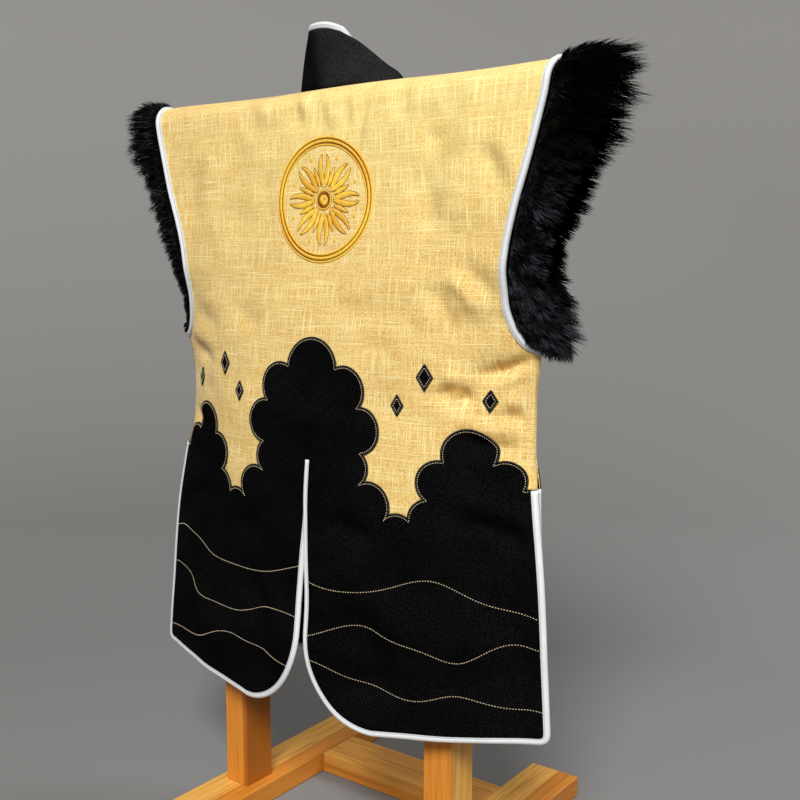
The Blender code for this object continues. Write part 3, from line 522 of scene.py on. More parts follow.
def mirrored(points):
    return points[::-1] * np.array([-1.0, 1.0])


print("outline tools ready")


# %% filling an outline
def lattice_net(outline, loops, runs, step):
    """Triangles that fill an outline, with every line drawn on it kept as edges."""
    points, edges = [], []
    for line, closed in [(outline, True)] + [(loop, True) for loop in loops] + [(run, False) for run in runs]:
        first = len(points)
        points += [tuple(p) for p in line]
        edges += [(first + i, first + i + 1) for i in range(len(line) - 1)]
        if closed:
            edges.append((first + len(line) - 1, first))
    near = KDTree(len(points))
    for i, p in enumerate(points):
        near.insert((p[0], p[1], 0.0), i)
    near.balance()
    low, high = outline.min(axis=0), outline.max(axis=0)
    xs = np.arange(math.floor(low[0] / step), math.ceil(high[0] / step) + 1) * step
    qs = np.arange(low[1] + step / 2, high[1], step)
    grid = np.stack(np.meshgrid(xs, qs), axis=-1).reshape(-1, 2)
    grid = grid[inside(outline, grid)]
    points += [tuple(p) for p in grid if near.find((p[0], p[1], 0.0))[2] > 0.45 * step]
    made = delaunay_2d_cdt([Vector(p) for p in points], edges, [], 0, 1e-7)
    verts = np.array([tuple(v) for v in made[0]])
    faces = np.array([tuple(f) for f in made[2]])
    return verts, faces[inside(outline, verts[faces].mean(axis=1))]


print("net maker ready")


# %% pieces from points
def piece(name, points, faces, flat, materials, nodes=(), outward=False):
    """A mesh piece that rides on the part, takes a finish and stands for some of the part's solids."""
    mesh = bpy.data.meshes.new(name)
    mesh.from_pydata(np.asarray(points).tolist(), [], [tuple(map(int, f)) for f in faces])
    layer = mesh.uv_layers.new(name="cut")
    corners = np.empty(len(mesh.loops), np.int32)
    mesh.loops.foreach_get("vertex_index", corners)
    layer.uv.foreach_set("vector", np.asarray(flat, np.float32)[corners].ravel())
    if outward:
        solid = bmesh.new()
        solid.from_mesh(mesh)
        bmesh.ops.recalc_face_normals(solid, faces=solid.faces)
        solid.to_mesh(mesh)
        solid.free()
    mesh.shade_smooth()
    made = bpy.data.objects.new(name, mesh)
    scene.collection.objects.link(made)
    for material in materials:
        mesh.materials.append(material)
    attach(made, "root")
    if nodes:
        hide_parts(*nodes)
    return made


def keep_shaded(made, values):
    """Keeps with each point a share of painted shade, from 0 to 1, for the finish to read."""
    layer = made.data.attributes.new("shaded", "FLOAT", "POINT")
    layer.data.foreach_set("value", np.asarray(values, np.float32).ravel())


def turned_from_light(form, x, q, step=0.003, steepest=0.75):
    """The slopes in the cloth that face down or to the left, from 0 to 1; the light is high on the right."""
    faces_down = sunk(*form, x, q + step) - sunk(*form, x, q - step)
    faces_left = sunk(*form, x - step, q) - sunk(*form, x + step, q)
    return np.clip((faces_down + 0.5 * faces_left) / (2 * step) / steepest, 0.0, 1.0)


def thicken(made, thick):
    """Gives a sheet its thickness, half to each side; its last material is that of its inside."""
    shell = made.modifiers.new("thickness", "SOLIDIFY")
    shell.thickness = thick
    shell.offset = 0.0
    shell.material_offset = len(made.data.materials) - 1


print("piece maker ready")


# %% sheets of cloth
def sheet_piece(name, surface, way, net, faces, lift, thick, materials, nodes):
    """A thin sheet on a net of the cut, lifted off the panel, with its inside in the second material."""
    used = np.unique(faces)
    where = np.full(len(net), -1)
    where[used] = np.arange(len(used))
    x, q = net[used].T
    points = surface(x, q) + facing(surface, x, q, way) * lift
    tri = where[faces]
    a, b, c = points[tri[:, 0]], points[tri[:, 1]], points[tri[:, 2]]
    if np.sum(np.cross(b - a, c - a)[:, 1]) * way < 0:
        tri = tri[:, ::-1]
    made = piece(name, points, tri, net[used], materials, nodes)
    # Each point keeps its share of painted shade: how far it turns from the light in a crease.
    form, aside = (BACK_FORM, x) if way < 0 else (FRONT_FORM, np.abs(x))
    keep_shaded(made, turned_from_light(form, aside, q))
    thicken(made, thick)
    return made


print("sheet maker ready")

# %% [markdown]
# ## Gold linen
# The ground cloth is a slubby linen: a plain weave whose threads swell at random, so pale dashes run along
# both ways of the cloth. A scanned cloth could be laid on, but noises follow the cut better: two that are
# stretched along the warp and the weft give the slubs, fine bands give the weave, and a slow one gives the
# uneven dye. The slopes that turn from the light get a painted amber shade, and the upper right of the cloth
# is painted paler, a painted highlight. Weave and slubs also drive the bump, so that light catches the
# threads.


# %% helpers for a cloth's finish
def cut_coordinates(tree):
    return add(tree, "UVMap", uv_map="cut").outputs["UV"]


def stretched_noise(tree, cut, across, down, detail=3.0, seed=0.0):
    """Noise that is drawn out along the threads: how many grains fit in a metre each way."""
    place = add(tree, "Mapping", {"Vector": cut, "Location": (seed, seed * 0.7, seed),
                                  "Scale": (across, down, 1.0)}).outputs["Vector"]
    return add(tree, "TexNoise", {"Vector": place, "Scale": 1.0, "Detail": detail}).outputs["Fac"]


def ramp(tree, value, *stops):
    """A colour ramp from pairs of place and colour, or place and grey."""
    node = add(tree, "ValToRGB", {"Fac": value})
    scale = node.color_ramp
    while len(scale.elements) < len(stops):
        scale.elements.new(0.5)
    for element, (place, colour) in zip(scale.elements, stops):
        element.position = place
        element.color = (*colour, 1.0) if hasattr(colour, "__len__") else (colour, colour, colour, 1.0)
    return node.outputs["Color"]


print("noises and ramps ready")


# %% mixing colours
def mixed(tree, share, a, b, how="MIX"):
    """Two colours mixed, each a colour or a socket."""
    return add(tree, "Mix", {0: share, 6: a, 7: b}, data_type="RGBA", blend_type=how).outputs[2]


def math_node(tree, how, a, b):
    return add(tree, "Math", {0: a, 1: b}, operation=how).outputs[0]


def tinted(tree, colour, value, share, tint):
    """A colour with a share of another mixed in where a value is high."""
    return mixed(tree, math_node(tree, "MULTIPLY", value, share), colour, tint)


WAVE_PITCH = 0.314159  # from band to band in a wave texture of scale 1


def bands(tree, cut, pitch, turned=0.0):
    """Even bands of a pitch in metres, turned by an angle on the cloth."""
    place = add(tree, "Mapping", {"Vector": cut, "Rotation": (0.0, 0.0, turned)}).outputs["Vector"]
    return add(tree, "TexWave", {"Vector": place, "Scale": WAVE_PITCH / pitch, "Distortion": 0.6,
                                 "Detail": 1.0, "Detail Scale": 0.3}).outputs["Fac"]


def bump(tree, shader, height, strength, distance):
    node = add(tree, "Bump", {"Height": height, "Strength": strength, "Distance": distance})
    tree.links.new(node.outputs["Normal"], shader.inputs["Normal"])


def shaded(tree):
    return add(tree, "Attribute", attribute_name="shaded").outputs["Fac"]


print("mixes, bands and bumps ready")

# %% linen
# The second value is a painted shade: a darker amber multiplied into the linen on slopes that turn from the
# light.
WEAVE_PITCH, PAINTED_CREASE_SHADE = 0.0009, (0.80, 0.67, 0.50)  # thread to thread, and what is left of light between folds


def linen(name, ground, pale, shade, painted_highlight):
    material, tree, shader = new_material(name, 0.82)
    cut = cut_coordinates(tree)
    weft = ramp(tree, stretched_noise(tree, cut, 18, 1020, 4.0, 1.3), (0.515, 0.0), (0.715, 1.0))
    warp = ramp(tree, stretched_noise(tree, cut, 1020, 22, 4.0, 5.1), (0.490, 0.0), (0.690, 1.0))
    dark_weft = ramp(tree, stretched_noise(tree, cut, 14, 900, 3.0, 9.7), (0.30, 1.0), (0.48, 0.0))
    dark_warp = ramp(tree, stretched_noise(tree, cut, 900, 16, 3.0, 2.9), (0.30, 1.0), (0.48, 0.0))
    dye = ramp(tree, stretched_noise(tree, cut, 15, 19, 5.0, 3.3), (0.34, 0.0), (0.68, 1.0))
    grain = ramp(tree, stretched_noise(tree, cut, 470, 540, 2.0, 6.6), (0.38, 1.0), (0.56, 0.0))
    specks = ramp(tree, stretched_noise(tree, cut, 520, 600, 2.0, 8.1), (0.52, 0.0), (0.66, 1.0))
    slubs = mixed(tree, 1.0, weft, warp, "LIGHTEN")
    dull = mixed(tree, 1.0, dark_weft, dark_warp, "LIGHTEN")
    colour = tinted(tree, ground, dye, 0.36, shade)
    colour = tinted(tree, colour, grain, 0.80, shade)
    colour = tinted(tree, colour, dull, 0.60, shade)
    colour = tinted(tree, colour, slubs, 0.80, pale)
    colour = tinted(tree, colour, specks, 0.42, pale)
    weave = mixed(tree, 0.5, bands(tree, cut, WEAVE_PITCH), bands(tree, cut, WEAVE_PITCH, math.pi / 2))
    colour = tinted(tree, colour, weave, 0.22, shade)
    # Painted shade: on slopes that turn from the light the colour is multiplied by a darker amber.
    colour = mixed(tree, shaded(tree), colour, PAINTED_CREASE_SHADE, "MULTIPLY")
    apart = add(tree, "SeparateXYZ", {"Vector": cut})
    # Painted highlight: the upper right of the cloth is painted paler, where most light falls.
    high_up = ramp(tree, apart.outputs["Y"], (0.05, 1.0), (0.12, 0.60), (0.22, 0.0))
    rightwards = add(tree, "MapRange", {"Value": apart.outputs["X"], "From Min": -0.24,
                                        "From Max": 0.0}).outputs["Result"]
    colour = tinted(tree, colour, math_node(tree, "MULTIPLY", high_up, rightwards), 0.19, painted_highlight)
    tree.links.new(colour, shader.inputs["Base Color"])
    height = mixed(tree, 0.55, weave, slubs)
    bump(tree, shader, height, 0.45, 0.0007)
    shader.inputs["Sheen Weight"].default_value = 0.12
    shader.inputs["Sheen Roughness"].default_value = 0.4
    shader.inputs["Specular IOR Level"].default_value = 0.25
    return material


gold_linen = linen("gold_linen", ground=(0.770, 0.524, 0.163), pale=(1.000, 0.925, 0.490),
                   shade=(0.500, 0.276, 0.058), painted_highlight=(1.000, 0.970, 0.390))
# The inside of the panels is a darker copy of the gold linen: painted shade.
linen_inside_painted_shade = linen("linen_inside_painted_shade", ground=(0.520, 0.315, 0.095), pale=(0.640, 0.440, 0.170),
                     shade=(0.330, 0.175, 0.045), painted_highlight=(0.640, 0.440, 0.170))
print("linen materials", gold_linen.name, linen_inside_painted_shade.name)

# %% [markdown]
# ## Black twill
# The tails, the collar and the cut-out clouds are a black twill. Twill shows fine diagonal lines, here
# between two and three millimetres apart, which wear dulls in patches. Turned bands give the lines, and a
# broken noise keeps them from looking ruled. Where the cloth turns from the light they are painted fainter,
# a painted shade.


# %% twill
TWILL_TURN = math.radians(-48)


def twill(name, deep, lit, pitch=0.0027, thin=0.44, whole=0.25):
    material, tree, shader = new_material(name, 0.72)
    cut = cut_coordinates(tree)
    lines = ramp(tree, bands(tree, cut, pitch, TWILL_TURN), (thin, 0.0), (thin + 0.32, 1.0))
    broken = ramp(tree, stretched_noise(tree, cut, 420, 420, 3.0, 4.2), (0.38, whole), (0.62, 1.0))
    cloudy = ramp(tree, stretched_noise(tree, cut, 16, 16, 5.0, 7.1), (0.35, 0.0), (0.70, 1.0))
    lint = ramp(tree, stretched_noise(tree, cut, 300, 170, 2.0, 8.8), (0.76, 0.0), (0.82, 1.0))
    worn = ramp(tree, stretched_noise(tree, cut, 8, 15, 3.0, 5.6), (0.36, 0.50), (0.62, 1.0))
    rib = math_node(tree, "MULTIPLY", math_node(tree, "MULTIPLY", lines, broken), worn)
    # Painted shade: the lines are dimmed where the cloth turns from the light.
    rib = math_node(tree, "MULTIPLY", rib, math_node(tree, "SUBTRACT", 1.0, shaded(tree)))
    colour = mixed(tree, rib, deep, lit)
    colour = tinted(tree, colour, cloudy, 0.06, lit)
    colour = tinted(tree, colour, lint, 0.35, tuple(3.0 * c for c in lit))
    tree.links.new(colour, shader.inputs["Base Color"])
    bump(tree, shader, rib, 0.55, 0.0006)
    shader.inputs["Specular IOR Level"].default_value = 0.008
    return material


black_twill = twill("black_twill", (0.0001, 0.0001, 0.0001), (0.0128, 0.0131, 0.0146))
collar_twill = twill("collar_twill", (0.0005, 0.0005, 0.0007), (0.0560, 0.0585, 0.0655),
                     pitch=0.0024, thin=0.46, whole=0.40)
twill_inside = twill("twill_inside", (0.0014, 0.0013, 0.0013), (0.0085, 0.0080, 0.0080))
print("twill materials", black_twill.name, collar_twill.name, twill_inside.name)

# %% [markdown]
# ## The back panel and its dark cloth
# The back is one panel that splits into two tails. Its edges are drawn for one half and mirrored. The dark
# cloth is cut along a chain of circles, which makes plain cloud scrolls, and small lozenges float above it.
# Both are applied on the gold, so they are triangles of the same net, lifted.

# %% edges of the back
TAIL_ROUND, TAIL_BOTTOM, VENT_TOP, SLIT_TOP = (0.106, 0.117), 0.832, 0.502, 0.488
SLIT_LAP, SLIT_OPEN, BINDING = 0.004, 0.0044, 0.0080
COVERED = BINDING * 0.80  # how much of the cloth's edge is inside the tape
OVERRUN, CORNER, FINE = 0.0006, 0.013, 0.005  # past the ends of slit and vent, cut off a corner, and net size
TOP_LINE, TOP_END = 0.00012, 0.310  # the cloth's upper edge, just off the ridge, and how far out it is drawn
turns = np.linspace(math.pi, math.pi / 2, 31)
slit_end = TAIL_BOTTOM - TAIL_ROUND[1]
slit_q = np.linspace(SLIT_TOP, slit_end, 48)
slit_x = SLIT_OPEN - (SLIT_OPEN + SLIT_LAP) * (1 - eased(slit_q, SLIT_TOP + 0.03, slit_end - 0.03))
slit = np.stack([slit_x, slit_q], axis=1)
tail_x = slit[-1, 0] + TAIL_ROUND[0] * (1 + np.cos(turns))
tail = np.stack([tail_x, slit_end + TAIL_ROUND[1] * np.sin(turns)], axis=1)
hem = sampled(HEM, FINE)[::-1][1:]
vent_q = np.linspace(HEM[0].down, VENT_TOP, 64)
vent = np.stack([side_edge(vent_q), vent_q], axis=1)
seam_q = np.linspace(VENT_TOP - 0.001, ARMHOLE[-1].down, 36)
seam = np.stack([side_edge(seam_q), seam_q], axis=1)
armhole = sampled(ARMHOLE, 0.0045)[::-1]


def rounded(before, after, cut):
    """Two runs that meet in a corner, with the corner taken off in a small curve."""
    corner = after[0]
    before = before[np.hypot(*(before - corner).T) > cut]
    after = after[np.hypot(*(after - corner).T) > cut]
    t = np.linspace(0, 1, 9)[1:-1, None]
    return joined(before, before[-1] * (1 - t) ** 2 + 2 * corner * t * (1 - t) + after[0] * t ** 2, after)


back_bound = joined(slit, tail, rounded(hem, vent, CORNER))
tail_cut = inset(back_bound, COVERED)
tail_cut[0, 1] = SLIT_TOP - OVERRUN
tail_cut[-1, 1] = VENT_TOP - OVERRUN
body_cut = joined(seam - (0.0009, 0.0), inset(armhole, COVERED))
body_cut[-1, 1] = TOP_LINE
ridge = np.array([(x, TOP_LINE) for x in np.arange(TOP_END, -0.001, -FINE)])
back_half = joined(tail_cut, body_cut, ridge)
back_outline = joined(back_half, mirrored(back_half)[1:])[:-1]
print("back outline", len(back_outline), "points")

# %% cloud scrolls and lozenges
Lobe = namedtuple("Lobe", "across down radius")
BACK_CLOUDS = [Lobe(*row) for row in (
    (0.000, 0.372, 0.042), (0.054, 0.396, 0.032), (0.080, 0.444, 0.030), (0.070, 0.492, 0.026),
    (0.098, 0.536, 0.030), (0.138, 0.568, 0.026), (0.180, 0.548, 0.028), (0.190, 0.500, 0.028),
    (0.224, 0.464, 0.032), (0.264, 0.496, 0.026), (0.292, 0.526, 0.024), (0.328, 0.536, 0.024))]
FRONT_CLOUDS = [Lobe(*row) for row in (
    (0.000, 0.560, 0.046), (0.070, 0.545, 0.046), (0.140, 0.530, 0.046), (0.210, 0.520, 0.046),
    (0.275, 0.515, 0.042), (0.330, 0.512, 0.034))]


def cloud_edge(lobes, spacing, shrink=0.0):
    """The scalloped upper edge of a chain of circles, from the first top to the last."""
    points = []
    start = -math.pi / 2
    for i, (across, down, radius) in enumerate(lobes):
        radius -= shrink
        end, following = -math.pi / 2, None
        if i + 1 < len(lobes):
            after = lobes[i + 1]
            dx, dq = after.across - across, after.down - down
            apart = math.hypot(dx, dq)
            mid = (radius ** 2 - (after.radius - shrink) ** 2 + apart ** 2) / (2 * apart)
            rise = math.sqrt(max(radius ** 2 - mid ** 2, 0.0))
            meet_x, meet_q = across + (mid * dx + rise * dq) / apart, down + (mid * dq - rise * dx) / apart
            end = math.atan2(meet_q - down, meet_x - across)
            following = math.atan2(meet_q - after.down, meet_x - after.across)
        end += 2 * math.pi if end < start else 0.0
        for angle in np.linspace(start, end, max(3, int(round((end - start) * radius / spacing)) + 1)):
            points.append((across + radius * math.cos(angle), down + radius * math.sin(angle)))
        if following is not None:
            start = following if following < 0 else following - 2 * math.pi
    return joined(np.array(points))


def lozenge(across, down, half_wide, half_tall, per_side=7):
    corners = np.array([(across, down - half_tall), (across + half_wide, down), (across, down + half_tall),
                        (across - half_wide, down)])
    t = np.arange(per_side)[:, None] / per_side
    return np.concatenate([corners[k] * (1 - t) + corners[(k + 1) % 4] * t for k in range(4)])


cloud_right = cloud_edge(BACK_CLOUDS, 0.003)
cloud = joined(mirrored(cloud_right), cloud_right)
dark_region = np.concatenate([cloud, [(0.45, 0.60), (0.45, 1.0), (-0.45, 1.0), (-0.45, 0.60)]])
spots = {}
for place, (across, down, half_wide, half_tall) in LOZENGES.items():
    spots["lozenge_" + place + "_right"] = lozenge(across, down, half_wide, half_tall)
    spots["lozenge_" + place + "_left"] = lozenge(-across, down, half_wide, half_tall)
print("cloud edge", len(cloud), "points; lozenges", len(spots))

# %% back panel, dark cloth and lozenges
LIFT = CLOTH / 2 + 0.0004 + OVERLAY / 2
back_net, back_faces = lattice_net(back_outline, list(spots.values()), [cloud], FINE)
middles = back_net[back_faces].mean(axis=1)
back_dark_faces = back_faces[inside(dark_region, middles)]
back_panel = sheet_piece("back_panel_linen", back, -1, back_net, back_faces, 0.0, CLOTH,
                         [gold_linen, linen_inside_painted_shade], ["back_panel"])
back_dark = sheet_piece("back_dark_twill", back, -1, back_net, back_dark_faces, LIFT, OVERLAY,
                        [black_twill], ["back_dark_cloth"])
in_spot = np.zeros(len(middles), bool)
for outline in spots.values():
    in_spot |= inside(outline, middles)
lozenges = sheet_piece("lozenge_twill", back, -1, back_net, back_faces[in_spot], LIFT, OVERLAY,
                       [black_twill], list(spots))

# %% [markdown]
# ## The fronts
# The two fronts hang on the far side. They meet the back along the shoulder ridge and the side seams, run
# down from the neckline to round corners, and carry the same dark cloth below. One net serves both,
# mirrored.

# %% edges of a front
FRONT_EDGE, FRONT_ROUND, NECK_END, FRONT_FINE = 0.012, 0.060, 0.280, 0.006
front_end = FRONT_HEM[-1].down - FRONT_ROUND
front_q = np.linspace(NECK_END + 0.004, front_end, 96)
front_slit = np.stack([np.full(96, FRONT_EDGE), front_q], axis=1)
corner_x = FRONT_EDGE + FRONT_ROUND * (1 + np.cos(turns))
front_corner = np.stack([corner_x, front_end + FRONT_ROUND * np.sin(turns)], axis=1)
front_hem = sampled(FRONT_HEM, FINE)[::-1][1:]
front_vent_q = np.linspace(FRONT_HEM[0].down, VENT_TOP, 64)
front_vent = np.stack([side_edge(front_vent_q, FRONT_SIDE), front_vent_q], axis=1)
front_bound = joined(front_slit, front_corner, rounded(front_hem, front_vent, CORNER))
front_cut = inset(front_bound, COVERED)
front_cut[-1, 1] = VENT_TOP - OVERRUN
shoulder = np.array([(x, TOP_LINE) for x in np.arange(TOP_END, 0.0575, -FINE)])
neck = inset(sampled(NECKLINE, FINE), 0.0012)
neck[0, 1] = TOP_LINE
front_outline = joined(front_cut, body_cut, shoulder, neck)
print("front outline", len(front_outline), "points")

# %% front sheets
HANDS = (("right", 1), ("left", -1))
front_cloud = cloud_edge(FRONT_CLOUDS, 0.004)
front_dark_region = np.concatenate([front_cloud, [(0.45, 0.60), (0.45, 1.0), (-0.05, 1.0), (-0.05, 0.60)]])
front_net, front_faces = lattice_net(front_outline, [], [front_cloud[front_cloud[:, 0] > 0.022]], FRONT_FINE)
front_dark_faces = front_faces[inside(front_dark_region, front_net[front_faces].mean(axis=1))]
fronts, front_darks = {}, {}
for hand, sign in HANDS:
    turned = front_net * np.array([sign, 1.0])
    fronts[hand] = sheet_piece("front_linen_" + hand, front, 1, turned, front_faces, 0.0, CLOTH,
                               [gold_linen, twill_inside], ["front_panel_" + hand])
    front_darks[hand] = sheet_piece("front_dark_twill_" + hand, front, 1, turned, front_dark_faces, LIFT,
                                    OVERLAY, [black_twill], ["front_dark_cloth_" + hand])

# %% [markdown]
# ## Satin tape
# Every raw edge is bound in a silvery satin tape, folded over the edge so that it looks like a soft round
# rim. A swept section does this: it starts on the panel, rises, rolls over the edge and comes back on the
# inside. Satin has long threads on its face, so it is smooth and bright, with faint crosswise ribs where
# the tape is eased round a curve.


# %% satin
def satin(name, pale, shade):
    material, tree, shader = new_material(name, 0.34)
    cut = cut_coordinates(tree)
    ribs = stretched_noise(tree, cut, 420, 2.0, 3.0, 1.7)
    pucker = stretched_noise(tree, cut, 120, 1.2, 2.0, 6.1)
    soil = ramp(tree, stretched_noise(tree, cut, 30, 3.0, 4.0, 2.4), (0.38, 0.0), (0.75, 1.0))
    colour = tinted(tree, pale, soil, 0.35, shade)
    colour = tinted(tree, colour, ribs, 0.18, shade)
    round_it = add(tree, "SeparateXYZ", {"Vector": cut}).outputs["Y"]
    # Painted shade across the tape: greyer on its panel side and its inside, darkest at the groove, bright on
    # its rounded outer half.
    fold = ramp(tree, round_it, (0.0, 0.55), (0.17, 0.45), (0.21, 1.0), (0.28, 0.15), (0.36, 0.0),
                (0.62, 0.25), (0.8, 0.6))
    colour = mixed(tree, fold, colour, tuple(0.72 * c for c in shade))
    tree.links.new(colour, shader.inputs["Base Color"])
    bump(tree, shader, mixed(tree, 0.6, ribs, pucker), 0.35, 0.0009)
    shader.inputs["Sheen Weight"].default_value = 0.25
    shader.inputs["Sheen Roughness"].default_value = 0.3
    shader.inputs["Specular IOR Level"].default_value = 0.55
    return material


silver_satin = satin("silver_satin", (0.735, 0.765, 0.790), (0.500, 0.540, 0.585))
print("satin material", silver_satin.name)


# %% swept tape
def loft(sections, around, along):
    """Quads between neighbouring sections, each a row of points."""
    n, m = sections.shape[:2]
    i = np.arange(n if along else n - 1)[:, None]
    j = np.arange(m if around else m - 1)[None]
    above, beside = (i + 1) % n * m, (j + 1) % m
    quads = np.stack([i * m + j, i * m + beside, above + beside, above + j], axis=-1)
    return quads.reshape(-1, 4)


# One turn of the tape: share of its width from the panel side to the edge, and height off the cloth's middle
TAPE = np.array([
    (0.02, 0.0020), (0.07, 0.0026), (0.15, 0.0027), (0.21, 0.0022), (0.27, 0.0026), (0.42, 0.0030),
    (0.64, 0.0028), (0.84, 0.0020), (0.96, 0.0010), (1.01, 0.0000), (0.96, -0.0010), (0.82, -0.0018),
    (0.58, -0.0022), (0.30, -0.0022), (0.06, -0.0018), (0.02, -0.0009)])


def tape_sections(surface, way, outer, inner, padding=0.0):
    """The tape's section at each point of an edge, on one surface; padding makes its outer half rounder."""
    rows = []
    for share, height in TAPE:
        at = inner + (outer - inner) * share
        x, q = at[:, 0], np.maximum(at[:, 1], 0.0)
        height *= 1 + padding * eased(share, 0.25, 0.75)
        rows.append(surface(x, q) + facing(surface, x, q, way) * height)
    return np.stack(rows, axis=1)


def tape_piece(name, sections, closed, nodes):
    n, m = sections.shape[:2]
    run = run_length(sections[:, 2])
    flat = np.stack(np.meshgrid(run, np.linspace(0, 1, m), indexing="ij"), axis=-1).reshape(-1, 2)
    faces = [tuple(f) for f in loft(sections, True, closed)]
    if not closed:
        faces += [tuple(range(m)), tuple(range((n - 1) * m, n * m))]
    return piece(name, sections.reshape(-1, 3), faces, flat, [silver_satin], nodes,
                 outward=True)


print("tape section of", len(TAPE), "points")

# %% tapes on the edges
for hand, sign in HANDS:
    flip = np.array([sign, 1.0])
    for place, bound, surface, way in (("back", back_bound, lambda x, q, lap=sign: back(x, q, lap), -1),
                                       ("front", front_bound, front, 1)):
        outer, inner = bound * flip, inset(bound, BINDING) * flip
        name = place + "_tape_" + hand
        sections = tape_sections(surface, way, outer, inner)
        tape_piece(name, sections, False, [place + "_binding_" + hand])

# %% armhole tape
for hand, sign, wide in (("right", 1, 0.0088), ("left", -1, 0.0102)):
    flip = np.array([sign, 1.0])
    armhole_in = inset(armhole, wide)
    armhole_in[0] = armhole[0] + (0.0, wide)
    armhole_in[1] = (armhole_in[0] + armhole_in[2]) / 2
    armhole_in[-1, 1] = 0.0
    up = tape_sections(back, -1, armhole * flip, armhole_in * flip, 0.5)
    down = tape_sections(front, 1, armhole[::-1] * flip, armhole_in[::-1] * flip, 0.5)
    name = "armhole_tape_" + hand
    tape_piece(name, np.concatenate([up, down[1:-1]]), True, ["armhole_binding_" + hand])
print("armhole tapes round", round(float(run_length(up[:, 2])[-1]) * 2, 3), "metres")

# %% [markdown]
# ## Edge cord and stitches
# The dark cloth is held by a black satin-stitched edge, like a thin cord, with a running stitch in tan
# thread just inside it. More tan lines wander over the tails. A stitch is a small arched grain of thread
# that dives into the cloth at both ends. There are hundreds, so all stitches of a kind are one mesh, made
# from arrays.


# %% thread
def thread(name, ground, pale, shade, roughness, pitch, shine):
    material, tree, shader = new_material(name, roughness)
    cut = cut_coordinates(tree)
    strands = bands(tree, cut, pitch, math.radians(8))
    uneven = ramp(tree, stretched_noise(tree, cut, 260, 9, 3.0, 3.1), (0.35, 0.0), (0.72, 1.0))
    colour = tinted(tree, ground, uneven, 0.75, pale)
    colour = tinted(tree, colour, strands, 0.45, shade)
    # Painted shade: threads are darkened by the share each point keeps.
    colour = tinted(tree, colour, shaded(tree), 0.62, shade)
    tree.links.new(colour, shader.inputs["Base Color"])
    bump(tree, shader, strands, 0.5, 0.0004)
    shader.inputs["Specular IOR Level"].default_value = shine
    return material


tan_thread = thread("tan_thread", ground=(0.520, 0.410, 0.240), pale=(0.820, 0.740, 0.540),
                    shade=(0.220, 0.145, 0.070), roughness=0.55, pitch=0.0008, shine=0.3)
black_thread = thread("black_thread", ground=(0.006, 0.006, 0.007), pale=(0.016, 0.016, 0.018),
                      shade=(0.003, 0.003, 0.003), roughness=0.5, pitch=0.0009, shine=0.4)
gold_thread = thread("gold_thread", ground=(0.960, 0.610, 0.030), pale=(1.000, 0.880, 0.200),
                     shade=(0.540, 0.215, 0.004), roughness=0.30, pitch=0.0011, shine=0.50)
amber_thread = thread("amber_thread", ground=(0.270, 0.085, 0.003), pale=(0.420, 0.160, 0.010),
                      shade=(0.120, 0.034, 0.001), roughness=0.45, pitch=0.0011, shine=0.25)
print("threads", tan_thread.name, black_thread.name, gold_thread.name)


# %% cord along an edge
def on_cloth(surface, way, path, lift):
    """A path of the cut, on the cloth in space, with the cloth's outward direction."""
    x, q = path.T
    normal = facing(surface, x, q, way)
    return surface(x, q) + normal * lift, normal


def along_path(points):
    return unit(np.gradient(points, axis=0))


FLATTENED, CORD_SIDES, STITCH_SIDES = 0.8, 8, 6  # height of a thread to its width, and sides of the tubes


def tube_sections(points, normal, along, wide, high, sides):
    """Rings round a path: half widths across the cloth and off it."""
    across = unit(np.cross(along, normal))
    angle = np.arange(sides) * 2 * math.pi / sides
    wide, high = np.asarray(wide)[..., None, None], np.asarray(high)[..., None, None]
    return (points[..., None, :] + across[..., None, :] * wide * np.cos(angle)[:, None]
            + normal[..., None, :] * high * np.sin(angle)[:, None])


def cord_piece(name, surface, way, paths, lift, half, material):
    """A satin-stitched cord along each path, all in one mesh."""
    points, faces, flat, first = [], [], [], 0
    for path in paths:
        line, normal = on_cloth(surface, way, path, lift)
        wide = np.full(len(line), half)
        sections = tube_sections(line, normal, along_path(line), wide, wide * FLATTENED, CORD_SIDES)
        points.append(sections.reshape(-1, 3))
        faces.append(loft(sections, True, False) + first)
        threads = np.linspace(0, 0.006, CORD_SIDES)
        flat.append(np.stack(np.meshgrid(run_length(line), threads, indexing="ij"), axis=-1).reshape(-1, 2))
        first += len(points[-1])
    return piece(name, np.concatenate(points), np.concatenate(faces), np.concatenate(flat), [material],
                 outward=True)


def even_path(path, spacing):
    run = run_length(path)
    at = np.linspace(0, run[-1], max(3, int(round(run[-1] / spacing)) + 1))
    return np.stack([np.interp(at, run, path[:, 0]), np.interp(at, run, path[:, 1])], axis=1)


def clipped(path, outline):
    """The stretches of a path that lie inside an outline."""
    keep = inside(outline, path)
    cuts = np.flatnonzero(np.diff(keep.astype(int))) + 1
    return [run for run, k in zip(np.split(path, cuts), np.split(keep, cuts)) if k[0] and len(run) > 4]


print("cord maker ready")

# %% cords of the dark cloth
EDGE_STEP, CORD_LIFT, CORD_HALF = 0.0025, LIFT + 0.0002, 0.0011
edges_back = clipped(even_path(cloud, EDGE_STEP), back_outline)
edges_back += [np.concatenate([spot, spot[:1]]) for spot in spots.values()]
edge_cord = cord_piece("applique_cord_back", back, -1, edges_back, CORD_LIFT, CORD_HALF, black_thread)
front_edges = clipped(even_path(front_cloud, EDGE_STEP), front_outline)
for hand, sign in HANDS:
    turned = [path * (sign, 1) for path in front_edges]
    cord_piece("applique_cord_front_" + hand, front, 1, turned, CORD_LIFT, CORD_HALF,
                                   black_thread)
print("appliqué cords on", len(edges_back), "edges of the back")


# %% running stitches
Stitch = namedtuple("Stitch", "long gap half")
STITCH_LIFT, STITCH_IN = LIFT + OVERLAY / 2, 0.0024  # on the dark cloth, and how far inside its edge


